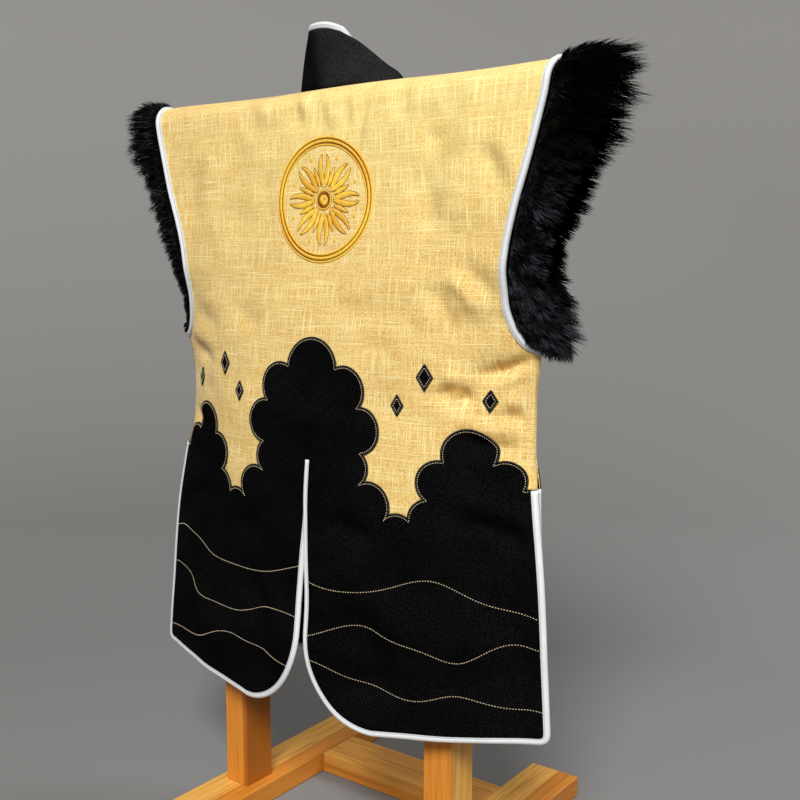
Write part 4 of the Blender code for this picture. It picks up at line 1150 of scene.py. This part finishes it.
def stitches_piece(name, surface, way, paths, stitch):
    """Arched stitches in tan thread along each path, all in one mesh, and their number."""
    share = np.array([0.0, 0.18, 0.5, 0.82, 1.0])
    arch = np.array([-0.0004, 0.0003, 0.00055, 0.0003, -0.0004])
    fat = np.array([0.35, 0.92, 1.0, 0.92, 0.35]) * stitch.half
    points, flat, count = [], [], 0
    for path in paths:
        line, normal = on_cloth(surface, way, even_path(path, 0.001), STITCH_LIFT)
        run = run_length(line)
        starts = np.arange(stitch.gap / 2, run[-1] - stitch.long, stitch.long + stitch.gap)
        if not len(starts):
            continue
        uneven = 1 + 0.12 * np.sin(np.arange(len(starts)) * 2.4) * np.cos(np.arange(len(starts)) * 1.1)
        at = starts[:, None] + share * stitch.long * uneven[:, None]
        place = np.stack([np.interp(at, run, line[:, k]) for k in range(3)], axis=-1)
        out = np.stack([np.interp(at, run, normal[:, k]) for k in range(3)], axis=-1)
        along = np.repeat(unit(place[:, -1:] - place[:, :1]), len(share), axis=1)
        rings = tube_sections(place + out * arch[:, None], out, along, np.broadcast_to(fat, at.shape),
                              np.broadcast_to(fat * FLATTENED, at.shape), STITCH_SIDES)
        points.append(rings.reshape(-1, 3))
        threads = np.tile(np.linspace(0, 0.003, STITCH_SIDES), at.size)
        flat.append(np.stack([np.repeat(at.ravel(), STITCH_SIDES), threads], axis=1))
        count += len(starts)
    one = loft(np.zeros((len(share), STITCH_SIDES, 3)), True, False)
    faces = (one[None] + (np.arange(count) * len(share) * STITCH_SIDES)[:, None, None]).reshape(-1, 4)
    made = piece(name, np.concatenate(points), faces, np.concatenate(flat), [tan_thread],
                 outward=True)
    return made, count


inner_edge = cloud_edge(BACK_CLOUDS, 0.003, STITCH_IN)
edge_runs = clipped(even_path(joined(mirrored(inner_edge), inner_edge), EDGE_STEP), back_outline)
for across, down, half_wide, half_tall in LOZENGES.values():
    for sign in (1, -1):
        loop = lozenge(sign * across, down, half_wide - 0.0026, half_tall - 0.0042)
        edge_runs.append(np.concatenate([loop, loop[:1]]))
edge_stitches, edge_count = stitches_piece("edge_stitches_back", back, -1, edge_runs,
                                           Stitch(0.0023, 0.0008, 0.00048))
print("edge stitches", edge_count)

# %% wandering lines on the tails
Line = namedtuple("Line", "down rise waves phase tilt")
TAIL_LINES = [Line(0.640, 0.016, 1.15, 0.5, 0.010), Line(0.705, 0.014, 1.45, 2.3, -0.012),
              Line(0.765, 0.010, 1.30, 4.4, 0.014)]
TAIL_WIDE = 0.33


def tail_line(line, sign):
    """A plain wave across one tail, different on each side."""
    x = np.linspace(0.0, 0.345, 140)
    share = x / TAIL_WIDE
    turn = 2 * math.pi * line.waves * (1.0 if sign > 0 else 0.8) * share + line.phase * sign
    q = line.down + line.rise * np.sin(turn) + line.tilt * (share - 0.5)
    q += 0.006 * np.sin(2.3 * turn + 1.0) * share
    return np.stack([sign * x, q], axis=1)


tail_runs = []
for sign in (1, -1):
    for line in TAIL_LINES:
        tail_runs += clipped(tail_line(line, sign), back_outline)
tail_stitches, tail_count = stitches_piece("tail_stitches_back", back, -1, tail_runs,
                                           Stitch(0.0025, 0.0011, 0.00056))
front_runs = [run for line in TAIL_LINES for run in clipped(tail_line(line, 1), front_outline)]
front_runs += clipped(even_path(cloud_edge(FRONT_CLOUDS, 0.003, STITCH_IN), EDGE_STEP), front_outline)
front_stitches = {}
for hand, sign in HANDS:
    turned = [run * (sign, 1.0) for run in front_runs]
    front_stitches[hand], front_count = stitches_piece("tail_stitches_front_" + hand, front, 1, turned,
                                                       Stitch(0.0036, 0.0010, 0.00056))
print("tail stitches", tail_count, "on the back and", front_count, "on each front")

# %% [markdown]
# ## Embroidered roundel
# High on the back sits a round embroidery in gold satin stitch on an amber ground. A satin stitch lies in a
# low dome with its threads across the shape, so every band and leaf here is a domed strip along a path, and
# its threads are bands across that path. Such threads shine one way only, so a strip keeps its bright gold
# where it runs one way and gets a painted shade where it runs across that, and each point keeps its share;
# this is a painted highlight and a painted shade. The design is a plain one: rings round a rosette of leaves.

# %% domed strips
# Strips that run this way keep their bright gold, a painted highlight; strips across it get a painted shade.
PAINTED_SHINE_WAY = -math.pi / 4  # the threads shine most where the strip under them runs this way


def domed(path, width, high, steps=9):
    """A domed strip along a path of the cut: points in space, threads across it, and its share of painted
    shade by the way it runs.
    """
    step = along_path(path)
    aside = np.stack([-step[:, 1], step[:, 0]], axis=1)
    rows, flat = [], []
    run = run_length(path)
    for v in np.linspace(-1.0, 1.0, steps):
        at = path + aside * (v * width / 2)[:, None]
        height = CLOTH / 2 - 0.0003 + high * np.sqrt(np.maximum(1 - v * v, 0.0))
        x, q = at.T
        rows.append(back(x, q) + facing(back, x, q, -1) * np.asarray(height).reshape(-1, 1))
        flat.append(np.stack([run, np.full(len(run), v * 0.004)], axis=1))
    # The painted shade of a strip, by the way it runs.
    dull = 0.5 - 0.5 * np.cos(2 * (np.arctan2(step[:, 1], step[:, 0]) - PAINTED_SHINE_WAY))
    return np.stack(rows, axis=1), np.stack(flat, axis=1), np.repeat(dull, steps)


def embroidery(name, strips, silk, nodes):
    """Domed strips (path, width at each point, height) as one piece."""
    points, faces, flat, painted_shade_shares, first = [], [], [], [], 0
    for path, width, high in strips:
        sections, threads, dull = domed(path, np.broadcast_to(width, len(path)), high)
        painted_shade_shares.append(dull)
        points.append(sections.reshape(-1, 3))
        faces.append(loft(sections, False, False)[:, ::-1] + first)
        flat.append(threads.reshape(-1, 2))
        first += len(points[-1])
    made = piece(name, np.concatenate(points), np.concatenate(faces), np.concatenate(flat), [silk],
                 nodes)
    keep_shaded(made, np.concatenate(painted_shade_shares))
    return made


print("strips shine most at", round(math.degrees(PAINTED_SHINE_WAY)), "degrees on the cut")


# %% roundel
def ring_path(radius, count=181, across=0.0, down=ROUNDEL_DOWN):
    angle = np.linspace(0, 2 * math.pi, count)
    return np.stack([across + radius * np.sin(angle), down - radius * np.cos(angle)], axis=1)


def leaf(angle, start, end, width, bow):
    """A leaf from near the middle outwards: wide in the middle, pointed at both ends."""
    t = np.linspace(0.0, 1.0, 25)
    radius = start + (end - start) * t
    turn = angle + bow * t * (1 - t)
    path = np.stack([radius * np.sin(turn), ROUNDEL_DOWN - radius * np.cos(turn)], axis=1)
    return path, width * np.sin(math.pi * t ** 0.8) ** 0.8 + 0.0004, 0.0013


rings = [(ring_path(0.0786), 0.0030, 0.0016), (ring_path(0.0739), 0.0044, 0.0019),
         (ring_path(0.0692), 0.0028, 0.0015), (ring_path(0.0118, 61), 0.0024, 0.0014),
         (ring_path(0.0036, 41), 0.0070, 0.0016)]
ground = [(ring_path(0.0740), 0.0142, 0.0007), (ring_path(0.0075, 61), 0.0150, 0.0006)]
ROUND_IT, DOT_OUT, GROUND_MORE = 8, 0.055, 0.0026  # leaf groups, dots from the middle, ground past a leaf
LEAF_GROUP = ((0.055, 0.015, 0.058, 0.0078, 0.42), (-0.055, 0.015, 0.058, 0.0078, -0.42),
              (math.pi / 8, 0.018, 0.044, 0.0062, 0.0))  # turn, start, end, width and bow
leaves = []
for k in range(ROUND_IT):
    for turn_by, near, far, width, bow in LEAF_GROUP:
        leaves.append(leaf(k * 2 * math.pi / ROUND_IT + turn_by, near, far, width, bow))
        ground.append((leaves[-1][0], leaves[-1][1] + GROUND_MORE, 0.0006))
dots = [(ring_path(0.0014, 25, DOT_OUT * math.sin(a), ROUNDEL_DOWN - DOT_OUT * math.cos(a)), 0.0028, 0.0010)
        for a in (np.arange(ROUND_IT) + 0.5) * 2 * math.pi / ROUND_IT]
roundel_ground = embroidery("roundel_ground", ground, amber_thread, [])
roundel_rings = embroidery("roundel_rings", rings, gold_thread, ["emblem_ring"])
roundel_leaves = embroidery("roundel_leaves", leaves + dots, gold_thread, [])
print("roundel", len(rings), "rings and", len(leaves), "leaves")

# %% [markdown]
# ## Collar
# A stiff collar stands round the neck, folded over on the right so that its tape turns inwards there. It is
# a band between its foot on the neckline and its rim. One profile swept along a curve would have the same
# height all round, so a table gives, for places along the neckline, how high it stands and how it leans,
# and more places between them make it smooth. Its left end turns from the light and has a painted shade.

# %% collar table
Stand = namedtuple("Stand", "across down high_left high_right lean_in lean_y lean_z roll_left roll_right")
COLLAR = [Stand(*row) for row in (
    (0.000, 0.000, 0.0700, 0.0700, 0.00, 0.10, 1.0, 0.40, 0.40),
    (0.030, 0.000, 0.0785, 0.0545, 0.02, 0.10, 1.0, 0.00, 1.00),
    (0.057, 0.001, 0.081, 0.0344, 0.00, 0.16, 1.0, 0.00, 1.00),
    (0.073, 0.012, 0.081, 0.0230, 0.02, 0.26, 1.0, 0.10, 1.00),
    (0.082, 0.035, 0.075, 0.0240, 0.10, 0.40, 0.9, 0.30, 1.00),
    (0.083, 0.080, 0.060, 0.030, 0.55, 0.60, 0.6, 0.60, 0.90),
    (0.070, 0.150, 0.044, 0.036, 0.80, 0.45, 0.3, 0.60, 0.60),
    (0.050, 0.220, 0.032, 0.032, 1.00, 0.20, 0.1, 0.30, 0.30),
    (0.036, 0.279, 0.019, 0.019, 1.00, 0.05, 0.0, 0.00, 0.00))]
COLLAR_THICK, COLLAR_TAPE, NECK_MIDDLE = 0.0018, 0.0080, 0.050  # the last is how far forward the neck is
steps = np.linspace(-(len(COLLAR) - 1), len(COLLAR) - 1, 129)
hand_of = np.where(steps < 0, -1.0, 1.0)
print("collar rows", len(COLLAR))


# %% collar band
def along_collar(name):
    return smooth(np.arange(len(COLLAR)), column(COLLAR, name), np.abs(steps))


foot_x, foot_q = hand_of * along_collar("across"), np.maximum(along_collar("down"), 0.0)
collar_high = np.where(steps < 0, along_collar("high_left"), along_collar("high_right"))
rim_roll = np.where(steps < 0, along_collar("roll_left"), along_collar("roll_right"))
rim_roll = np.clip(rim_roll, 0.0, 1.0)[:, None]
lean_in = -hand_of * along_collar("lean_in")
lean = unit(np.stack([lean_in, along_collar("lean_y"), along_collar("lean_z")], axis=1))
foot = front(foot_x, foot_q) + facing(front, foot_x, foot_q, 1) * (CLOTH / 2 + 0.0006)
collar_run = run_length(foot)
levels = np.linspace(0.0, 1.0, 11)
away = unit(np.stack([foot[:, 0], foot[:, 1] - NECK_MIDDLE, np.zeros(len(foot))], axis=1))
band = []
for level in levels:
    bulge = 0.0012 * math.sin(math.pi * level) * np.sin(collar_run * 24 + 0.8)[:, None]
    band.append(foot + lean * (level * collar_high)[:, None] + away * bulge)
band = np.stack(band, axis=1)
flat = np.stack([np.repeat(collar_run, len(levels)), (levels * collar_high[:, None]).ravel()], axis=1)
collar = piece("collar_twill", band.reshape(-1, 3), loft(band, False, False), flat, [collar_twill],
               ["collar"])
# Painted shade: the left end of the collar, which turns from the light, is painted darker.
painted_shade_left_end = 1 - eased(foot_x[:, None] + 0.046 - 0.018 * (1 - levels), -0.010, 0.012)
keep_shaded(collar, 0.85 * painted_shade_left_end * (foot_x > -0.074)[:, None])
thicken(collar, COLLAR_THICK)
print("collar", round(float(collar_run[-1]), 3), "metres along its foot")

# %% collar tape
top = band[:, -1]
inwards = unit(np.stack([-top[:, 0], NECK_MIDDLE - top[:, 1], np.zeros(len(top))], axis=1))
rim = unit(lean * (1 - rim_roll) + inwards * rim_roll)
start = top + rim * (0.0003 + 0.0022 * rim_roll) - lean * (0.0040 * rim_roll ** 2)
through = unit(np.cross(along_path(top), rim))
# One turn of this tape: share of its width past the rim, and height off the collar's middle
ROUND = [(-0.10, 0.0012), (0.15, 0.0017), (0.5, 0.0018), (0.85, 0.0012), (1.0, 0.0), (0.85, -0.0012),
         (0.5, -0.0018), (0.15, -0.0017), (-0.10, -0.0012)]
sections = [start + rim * (share * COLLAR_TAPE) + through * height for share, height in ROUND]
collar_tape = tape_piece("collar_tape", np.stack(sections, axis=1), False, ["collar_binding"])
print("collar tape", round(float(run_length(top)[-1]), 3), "metres")

# %% [markdown]
# ## Fur
# Long black fur edges both armholes. Hair particles would be the usual way, but a mesh goes everywhere, so
# each hair is a thin tapering ribbon. The hairs grow from a dark core inside the fur's ring, point
# outwards, fall at the sides, and are drawn together into tufts, each with a length and a lean of its own
# and a brightness that mixes its own tone with painted highlights. The tips are painted lighter, partly a
# painted highlight, and the upper right of the right fur carries a painted shade. Their length changes
# round the armhole, which gives the fur its ragged waving outline, and under the arm they sweep over the
# end of the tape.


# %% fur material
def pelt(name):
    material, tree, shader = new_material(name, 0.38)
    apart = add(tree, "SeparateXYZ", {"Vector": cut_coordinates(tree)})
    # The tips are painted a lighter bluish grey, partly the hair's own colour and partly a painted highlight;
    # the cut's second coordinate carries each hair's brightness, with its painted light and shade.
    to_tip = ramp(tree, apart.outputs["X"], (0.0, (0.0001, 0.0001, 0.0001)), (0.5, (0.0026, 0.0027, 0.0033)),
                  (1.0, (0.0170, 0.0183, 0.0230)))
    each = ramp(tree, apart.outputs["Y"], (0.0, 0.02), (0.5, 0.9), (1.0, 5.4))
    tree.links.new(mixed(tree, 1.0, to_tip, each, "MULTIPLY"), shader.inputs["Base Color"])
    dull = ramp(tree, apart.outputs["X"], (0.0, 1.0), (0.35, 0.45), (1.0, 0.36))
    tree.links.new(dull, shader.inputs["Roughness"])
    shader.inputs["Specular IOR Level"].default_value = 0.09
    return material


black_fur = pelt("black_fur")
print("fur material", black_fur.name)

# %% fur table
Tuft = namedtuple("Tuft", "way reach_left reach_right half_thick hair_left hair_right")
FUR = [Tuft(*row) for row in (
    (0.000, 0.005, 0.054, 0.007, 0.005, 0.022), (0.050, 0.006, 0.056, 0.009, 0.006, 0.023),
    (0.100, 0.012, 0.052, 0.010, 0.010, 0.022), (0.150, 0.019, 0.044, 0.011, 0.014, 0.020),
    (0.200, 0.029, 0.043, 0.011, 0.018, 0.020), (0.250, 0.037, 0.050, 0.012, 0.020, 0.021),
    (0.300, 0.037, 0.056, 0.012, 0.020, 0.023), (0.350, 0.046, 0.064, 0.013, 0.022, 0.026),
    (0.400, 0.055, 0.072, 0.014, 0.026, 0.029), (0.450, 0.055, 0.078, 0.014, 0.027, 0.032),
    (0.500, 0.056, 0.081, 0.014, 0.027, 0.034), (0.560, 0.054, 0.080, 0.014, 0.026, 0.034),
    (0.620, 0.048, 0.074, 0.013, 0.025, 0.032), (0.665, 0.042, 0.056, 0.012, 0.022, 0.024),
    (0.710, 0.036, 0.047, 0.012, 0.020, 0.019), (0.755, 0.034, 0.045, 0.011, 0.020, 0.018),
    (0.800, 0.028, 0.032, 0.010, 0.018, 0.014), (0.840, 0.026, 0.032, 0.010, 0.018, 0.015),
    (0.885, 0.024, 0.052, 0.010, 0.016, 0.021), (0.930, 0.014, 0.063, 0.010, 0.012, 0.024),
    (1.000, 0.005, 0.054, 0.007, 0.005, 0.022))]
FUR_CLEAR, FUR_INSET, STATIONS = 0.0021, 0.0060, 180
print("fur rows", len(FUR))


# %% the fur's ring
def armhole_loop(sign):
    """The armhole's edge in space, at an even spacing, from the underarm up the back and down the front."""
    up = back(sign * armhole[:, 0], armhole[:, 1])
    down = front(sign * armhole[::-1, 0], armhole[::-1, 1])
    loop = np.concatenate([up, down[1:]])
    run = run_length(loop)
    at = np.linspace(0, run[-1], STATIONS + 1)[:-1]
    return np.stack([np.interp(at, run, loop[:, k]) for k in range(3)], axis=1)


def fur_frame(sign):
    """For stations round the armhole: foot, lean, direction across the ring, and the table's columns."""
    base = armhole_loop(sign)
    soft = base
    for _ in range(6):
        soft = (soft + np.roll(soft, 1, axis=0) + np.roll(soft, -1, axis=0)) / 3
    along = np.roll(soft, -1, axis=0) - np.roll(soft, 1, axis=0)
    outwards = np.array([sign, 0.0, 0.0])
    away = unit(np.cross(along, outwards))
    away *= np.where(np.sum(away * (base - base.mean(axis=0))) < 0, -1.0, 1.0)
    lean = unit(outwards + 0.03 * away)
    across = unit(away - lean * np.sum(away * lean, axis=1, keepdims=True))
    way = np.arange(STATIONS) / STATIONS
    hand = "right" if sign > 0 else "left"
    reach, thick, hair = [smooth(column(FUR, "way"), column(FUR, name), way) for name in
                          ("reach_" + hand, "half_thick", "hair_" + hand)]
    core = np.maximum(reach - 0.85 * hair, 0.004)
    return base + outwards * FUR_CLEAR - away * FUR_INSET, lean, across, (core, thick, hair)


def around(values, way):
    """A table round the armhole read at any place of it."""
    at = np.asarray(way) % 1.0 * STATIONS
    i = at.astype(int) % STATIONS
    t = (at - np.floor(at)).reshape(at.shape + (1,) * (values.ndim - 1))
    return values[i] * (1 - t) + values[(i + 1) % STATIONS] * t


print("stations round an armhole", STATIONS)

# %% growing the hair
HAIRS, EDGE_HAIRS, TUFTS_ROUND, TUFTS_OUT = 34000, 8000, 82, 4.0
PROFILE = [(0.0, 0.42), (0.30, 1.0), (0.75, 0.9), (1.0, 0.25)]  # share of the core's reach, and how fat it is
DOWN = np.array([0.0, 0.0, -1.0])


def fur_core(foot, lean, across, reach, thick):
    """A dark ring inside the fur, to which the hairs are rooted."""
    rows = [(share, fat) for share, fat in PROFILE] + [(share, -fat) for share, fat in PROFILE[::-1]]
    rings = []
    for share, fat in rows:
        rings.append(foot + lean * (share * reach)[:, None] + across * (fat * 0.9 * thick)[:, None])
    return np.stack(rings, axis=1)


def grow(sign, seed):
    """Tapering ribbons of four points, in tufts; the last ones stand along the tape and hide the core."""
    rng = np.random.default_rng(seed)
    foot, lean, across, (reach, thick, hair) = fur_frame(sign)
    way = rng.random(HAIRS)
    edge = np.arange(HAIRS) >= HAIRS - EDGE_HAIRS
    side = np.where(rng.random(HAIRS) < 0.5, -1.0, 1.0)
    share = np.where(edge, 0.10 * rng.random(HAIRS), rng.random(HAIRS) ** 0.85)
    fat = np.interp(share, *zip(*PROFILE))
    tuft = np.floor(way * TUFTS_ROUND) * 9 + np.floor(share * TUFTS_OUT) * 2 + (side > 0)
    luck = np.random.default_rng(seed + 1).random((int(tuft.max()) + 1, 6))[tuft.astype(int)]
    out, over = around(lean, way), around(across, way) * side[:, None]
    root = around(foot, way) + out * (share * around(reach, way))[:, None]
    root += over * (fat * 0.80 * around(thick, way))[:, None]
    along = unit(np.cross(out, over))
    go = out * np.where(edge, 0.35, 0.55 + 0.75 * share)[:, None] + over * (0.60 - 0.46 * share)[:, None]
    go += along * ((luck[:, :1] - 0.5) * 0.60) + (luck[:, 1:4] - 0.5) * 0.45
    go += rng.normal(0.0, 0.10, (HAIRS, 3))
    fall = 0.50 * (1 - np.exp(-((way - 0.5) / 0.15) ** 2))
    under = np.clip(1 - np.minimum(way, 1 - way) / 0.05, 0.0, 1.0)
    go += DOWN * fall[:, None] + np.array([-0.8 * sign, -0.9, -0.3]) * under[:, None]
    go = unit(go)
    long = 1.05 * around(hair, way) * (0.62 + 0.42 * luck[:, 4] + 0.20 * rng.random(HAIRS))
    long *= 0.42 + 0.58 * share
    droop = DOWN * (0.06 + 0.26 * luck[:, 5:6]) + out * 0.30
    t = np.array([0.0, 0.40, 0.75, 1.0])[None, :, None]
    bend = (droop + rng.normal(0.0, 0.08, (HAIRS, 3)))[:, None] * t * t * 0.55
    line = root[:, None] + long[:, None, None] * (go[:, None] * t + bend)
    flatwise = unit(np.cross(go, rng.normal(0.0, 1.0, (HAIRS, 3))))[:, None]
    half = np.array([0.00042, 0.00040, 0.00026])[None, :, None]
    stem = line[:, :3]
    points = np.concatenate([stem - flatwise * half, stem + flatwise * half, line[:, 3:]], axis=1)
    to_tip = np.array([0.0, 0.4, 0.75, 0.0, 0.4, 0.75, 1.0])
    # Painted shade: the right fur is painted nearly black over the upper part of its ring, where shade falls
    # in the armhole's hollow, and the whole left fur is painted darker.
    deep = np.full(HAIRS, 0.56)
    if sign > 0:
        deep = 1 - 0.95 * eased(way, 0.26, 0.40) * (1 - eased(way, 0.82, 0.94))
    # Each hair's brightness: tone of its own and of its tuft, partly painted highlight, times the painted
    # shade above.
    tone_and_painted_light = (0.36 * rng.random(HAIRS) + 0.64 * luck[:, 0]) * deep
    flat = np.stack([np.tile(to_tip, HAIRS), np.repeat(tone_and_painted_light, len(to_tip))], axis=1)
    base = (np.arange(HAIRS) * len(to_tip))[:, None, None]
    quads = (np.array([(0, 3, 4, 1), (1, 4, 5, 2)])[None] + base).reshape(-1, 4)
    return points.reshape(-1, 3), flat, quads, (np.array([[2, 5, 6]])[None] + base).reshape(-1, 3)


print("tufts round an armhole", TUFTS_ROUND)

# %% both furs
for hand, sign, seed in (("right", 1, 11), ("left", -1, 29)):
    foot, lean_out, over, (reach, thick, _) = fur_frame(sign)
    core = fur_core(foot, lean_out, over, reach, thick)
    hairs, hair_flat, quads, tips = grow(sign, seed)
    count = core.shape[0] * core.shape[1]
    faces = loft(core, True, True).tolist() + (quads + count).tolist() + (tips + count).tolist()
    points = np.concatenate([core.reshape(-1, 3), hairs])
    flat = np.concatenate([np.zeros((count, 2)), hair_flat])
    piece("fur_" + hand + "_hair", points, faces, flat, [black_fur], ["fur_" + hand])
    print("fur on the", hand, "with", HAIRS, "hairs and", len(faces), "faces")

# %% [markdown]
# ## Pine
# The stand is planed pine with a clear oil: straight amber grain along each timber, and another colour
# where heartwood meets sapwood. Rings could be drawn round the heart of the tree, but planed faces show
# little of them, so noises that are stretched along the timber give the grain, and a plane through it gives
# the change of colour. On the left post the darker side is also a painted shadow, and the stretcher's paler
# top is a painted highlight. The timbers keep their measured solids and only get this finish, each from
# another place in the tree.


# %% pine
GRAIN_STRETCH, GRAIN_BEND, SAP_BLEND = 0.03, 0.03, 0.002


def pine(name, long_axis, shift, side, start, near, far):
    """Grain along X, Y or Z (axis 0, 1 or 2), with another colour beyond a plane: sapwood on most timbers, a
    painted shadow over dark heartwood on the left post, and a painted highlight on the stretcher's top.
    """
    material, tree, shader = new_material(name, 0.46)
    space = add(tree, "TexCoord").outputs["Object"]
    stretch = [1.0, 1.0, 1.0]
    stretch[long_axis] = GRAIN_STRETCH
    place = add(tree, "Mapping", {"Vector": space, "Location": shift,
                                  "Scale": tuple(stretch)}).outputs["Vector"]
    bend = add(tree, "TexNoise", {"Vector": place, "Scale": 9.0, "Detail": 2.0})
    warped = add(tree, "VectorMath", {0: bend.outputs["Color"], 1: (GRAIN_BEND,) * 3}, operation="MULTIPLY")
    grain_at = add(tree, "VectorMath", {0: place, 1: warped.outputs[0]}, operation="ADD").outputs[0]

    def grain(scale, detail, low, high):
        noise = add(tree, "TexNoise", {"Vector": grain_at, "Scale": scale, "Detail": detail})
        return ramp(tree, noise.outputs["Fac"], (low, 0.0), (high, 1.0))

    across = add(tree, "VectorMath", {0: grain_at, 1: tuple(s / t for s, t in zip(side, stretch))},
                 operation="DOT_PRODUCT").outputs["Value"]
    start += sum(s * (v / t + GRAIN_BEND / 2) for s, v, t in zip(side, shift, stretch))
    beyond = add(tree, "MapRange", {"Value": across, "From Min": start - SAP_BLEND,
                                    "From Max": start + SAP_BLEND}).outputs["Result"]
    wood = mixed(tree, beyond, near, far)
    wood = tinted(tree, wood, grain(60.0, 2.0, 0.40, 0.66), 0.30, (0.520, 0.190, 0.022))
    wood = tinted(tree, wood, grain(230.0, 3.0, 0.50, 0.66), 0.58, (0.380, 0.115, 0.010))
    fibre = grain(760.0, 3.0, 0.30, 0.75)
    wood = tinted(tree, wood, fibre, 0.34, (0.440, 0.140, 0.012))
    tree.links.new(wood, shader.inputs["Base Color"])
    bump(tree, shader, fibre, 0.12, 0.0006)
    shader.inputs["Specular IOR Level"].default_value = 0.42
    return material


print("pine finish ready")

# %% timbers
HEART, SAP = (0.690, 0.262, 0.030), (0.900, 0.500, 0.105)
DARK_HEART_AND_PAINTED_SHADOW, PAINTED_PALE_TOP = (0.360, 0.105, 0.006), (0.800, 0.390, 0.070)
# On the left post the side facing right is dark heartwood with a painted shadow of the coat; the stretcher's
# top is painted paler, a painted highlight.
TIMBER = {"post_left": (2, (0.31, 0.0, 0.0), (1, 0, 0), -0.171, HEART, DARK_HEART_AND_PAINTED_SHADOW),
          "post_right": (2, (1.74, 0.4, 0.0), (0.8, 0.6, 0.0), 0.146, HEART, SAP),
          "foot_left": (1, (0.92, 0.0, 0.3), (1, 0, 0), -0.176, SAP, HEART),
          "foot_right": (1, (2.45, 0.0, 0.7), (1, 0, 0), 0.177, SAP, HEART),
          "stretcher": (0, (0.0, 3.1, 0.2), (0, 0, 1), 0.020, HEART, PAINTED_PALE_TOP),
          "crossbar": (0, (0.0, 4.6, 0.9), (0, 0, 1), 9.0, HEART, SAP)}
for node, recipe in TIMBER.items():
    timber = bpy.data.objects[node]
    finish = pine("pine_" + node, *recipe)
    if timber.material_slots:
        timber.material_slots[0].material = finish
    else:
        timber.data.materials.append(finish)
print("timbers", sorted(TIMBER))

# %% [markdown]
# ## What the cloth was cut from
# A garment is sheets of cloth, and for each the size of its flat cut is printed. Sizes are those of the
# cut that shows, taken from its net before it was hung.

# %% sheets
def extent(net, faces):
    """Width and length of the cut that shows."""
    wide, long = np.ptp(net[np.unique(faces)], axis=0)
    print("sheet", round(float(wide), 3), "by", round(float(long), 3), "metres")
    return float(wide), float(long)


extent(back_net, back_faces)
extent(back_net, back_dark_faces)
for hand in ("right", "left"):
    extent(front_net, front_faces)
    extent(front_net, front_dark_faces)
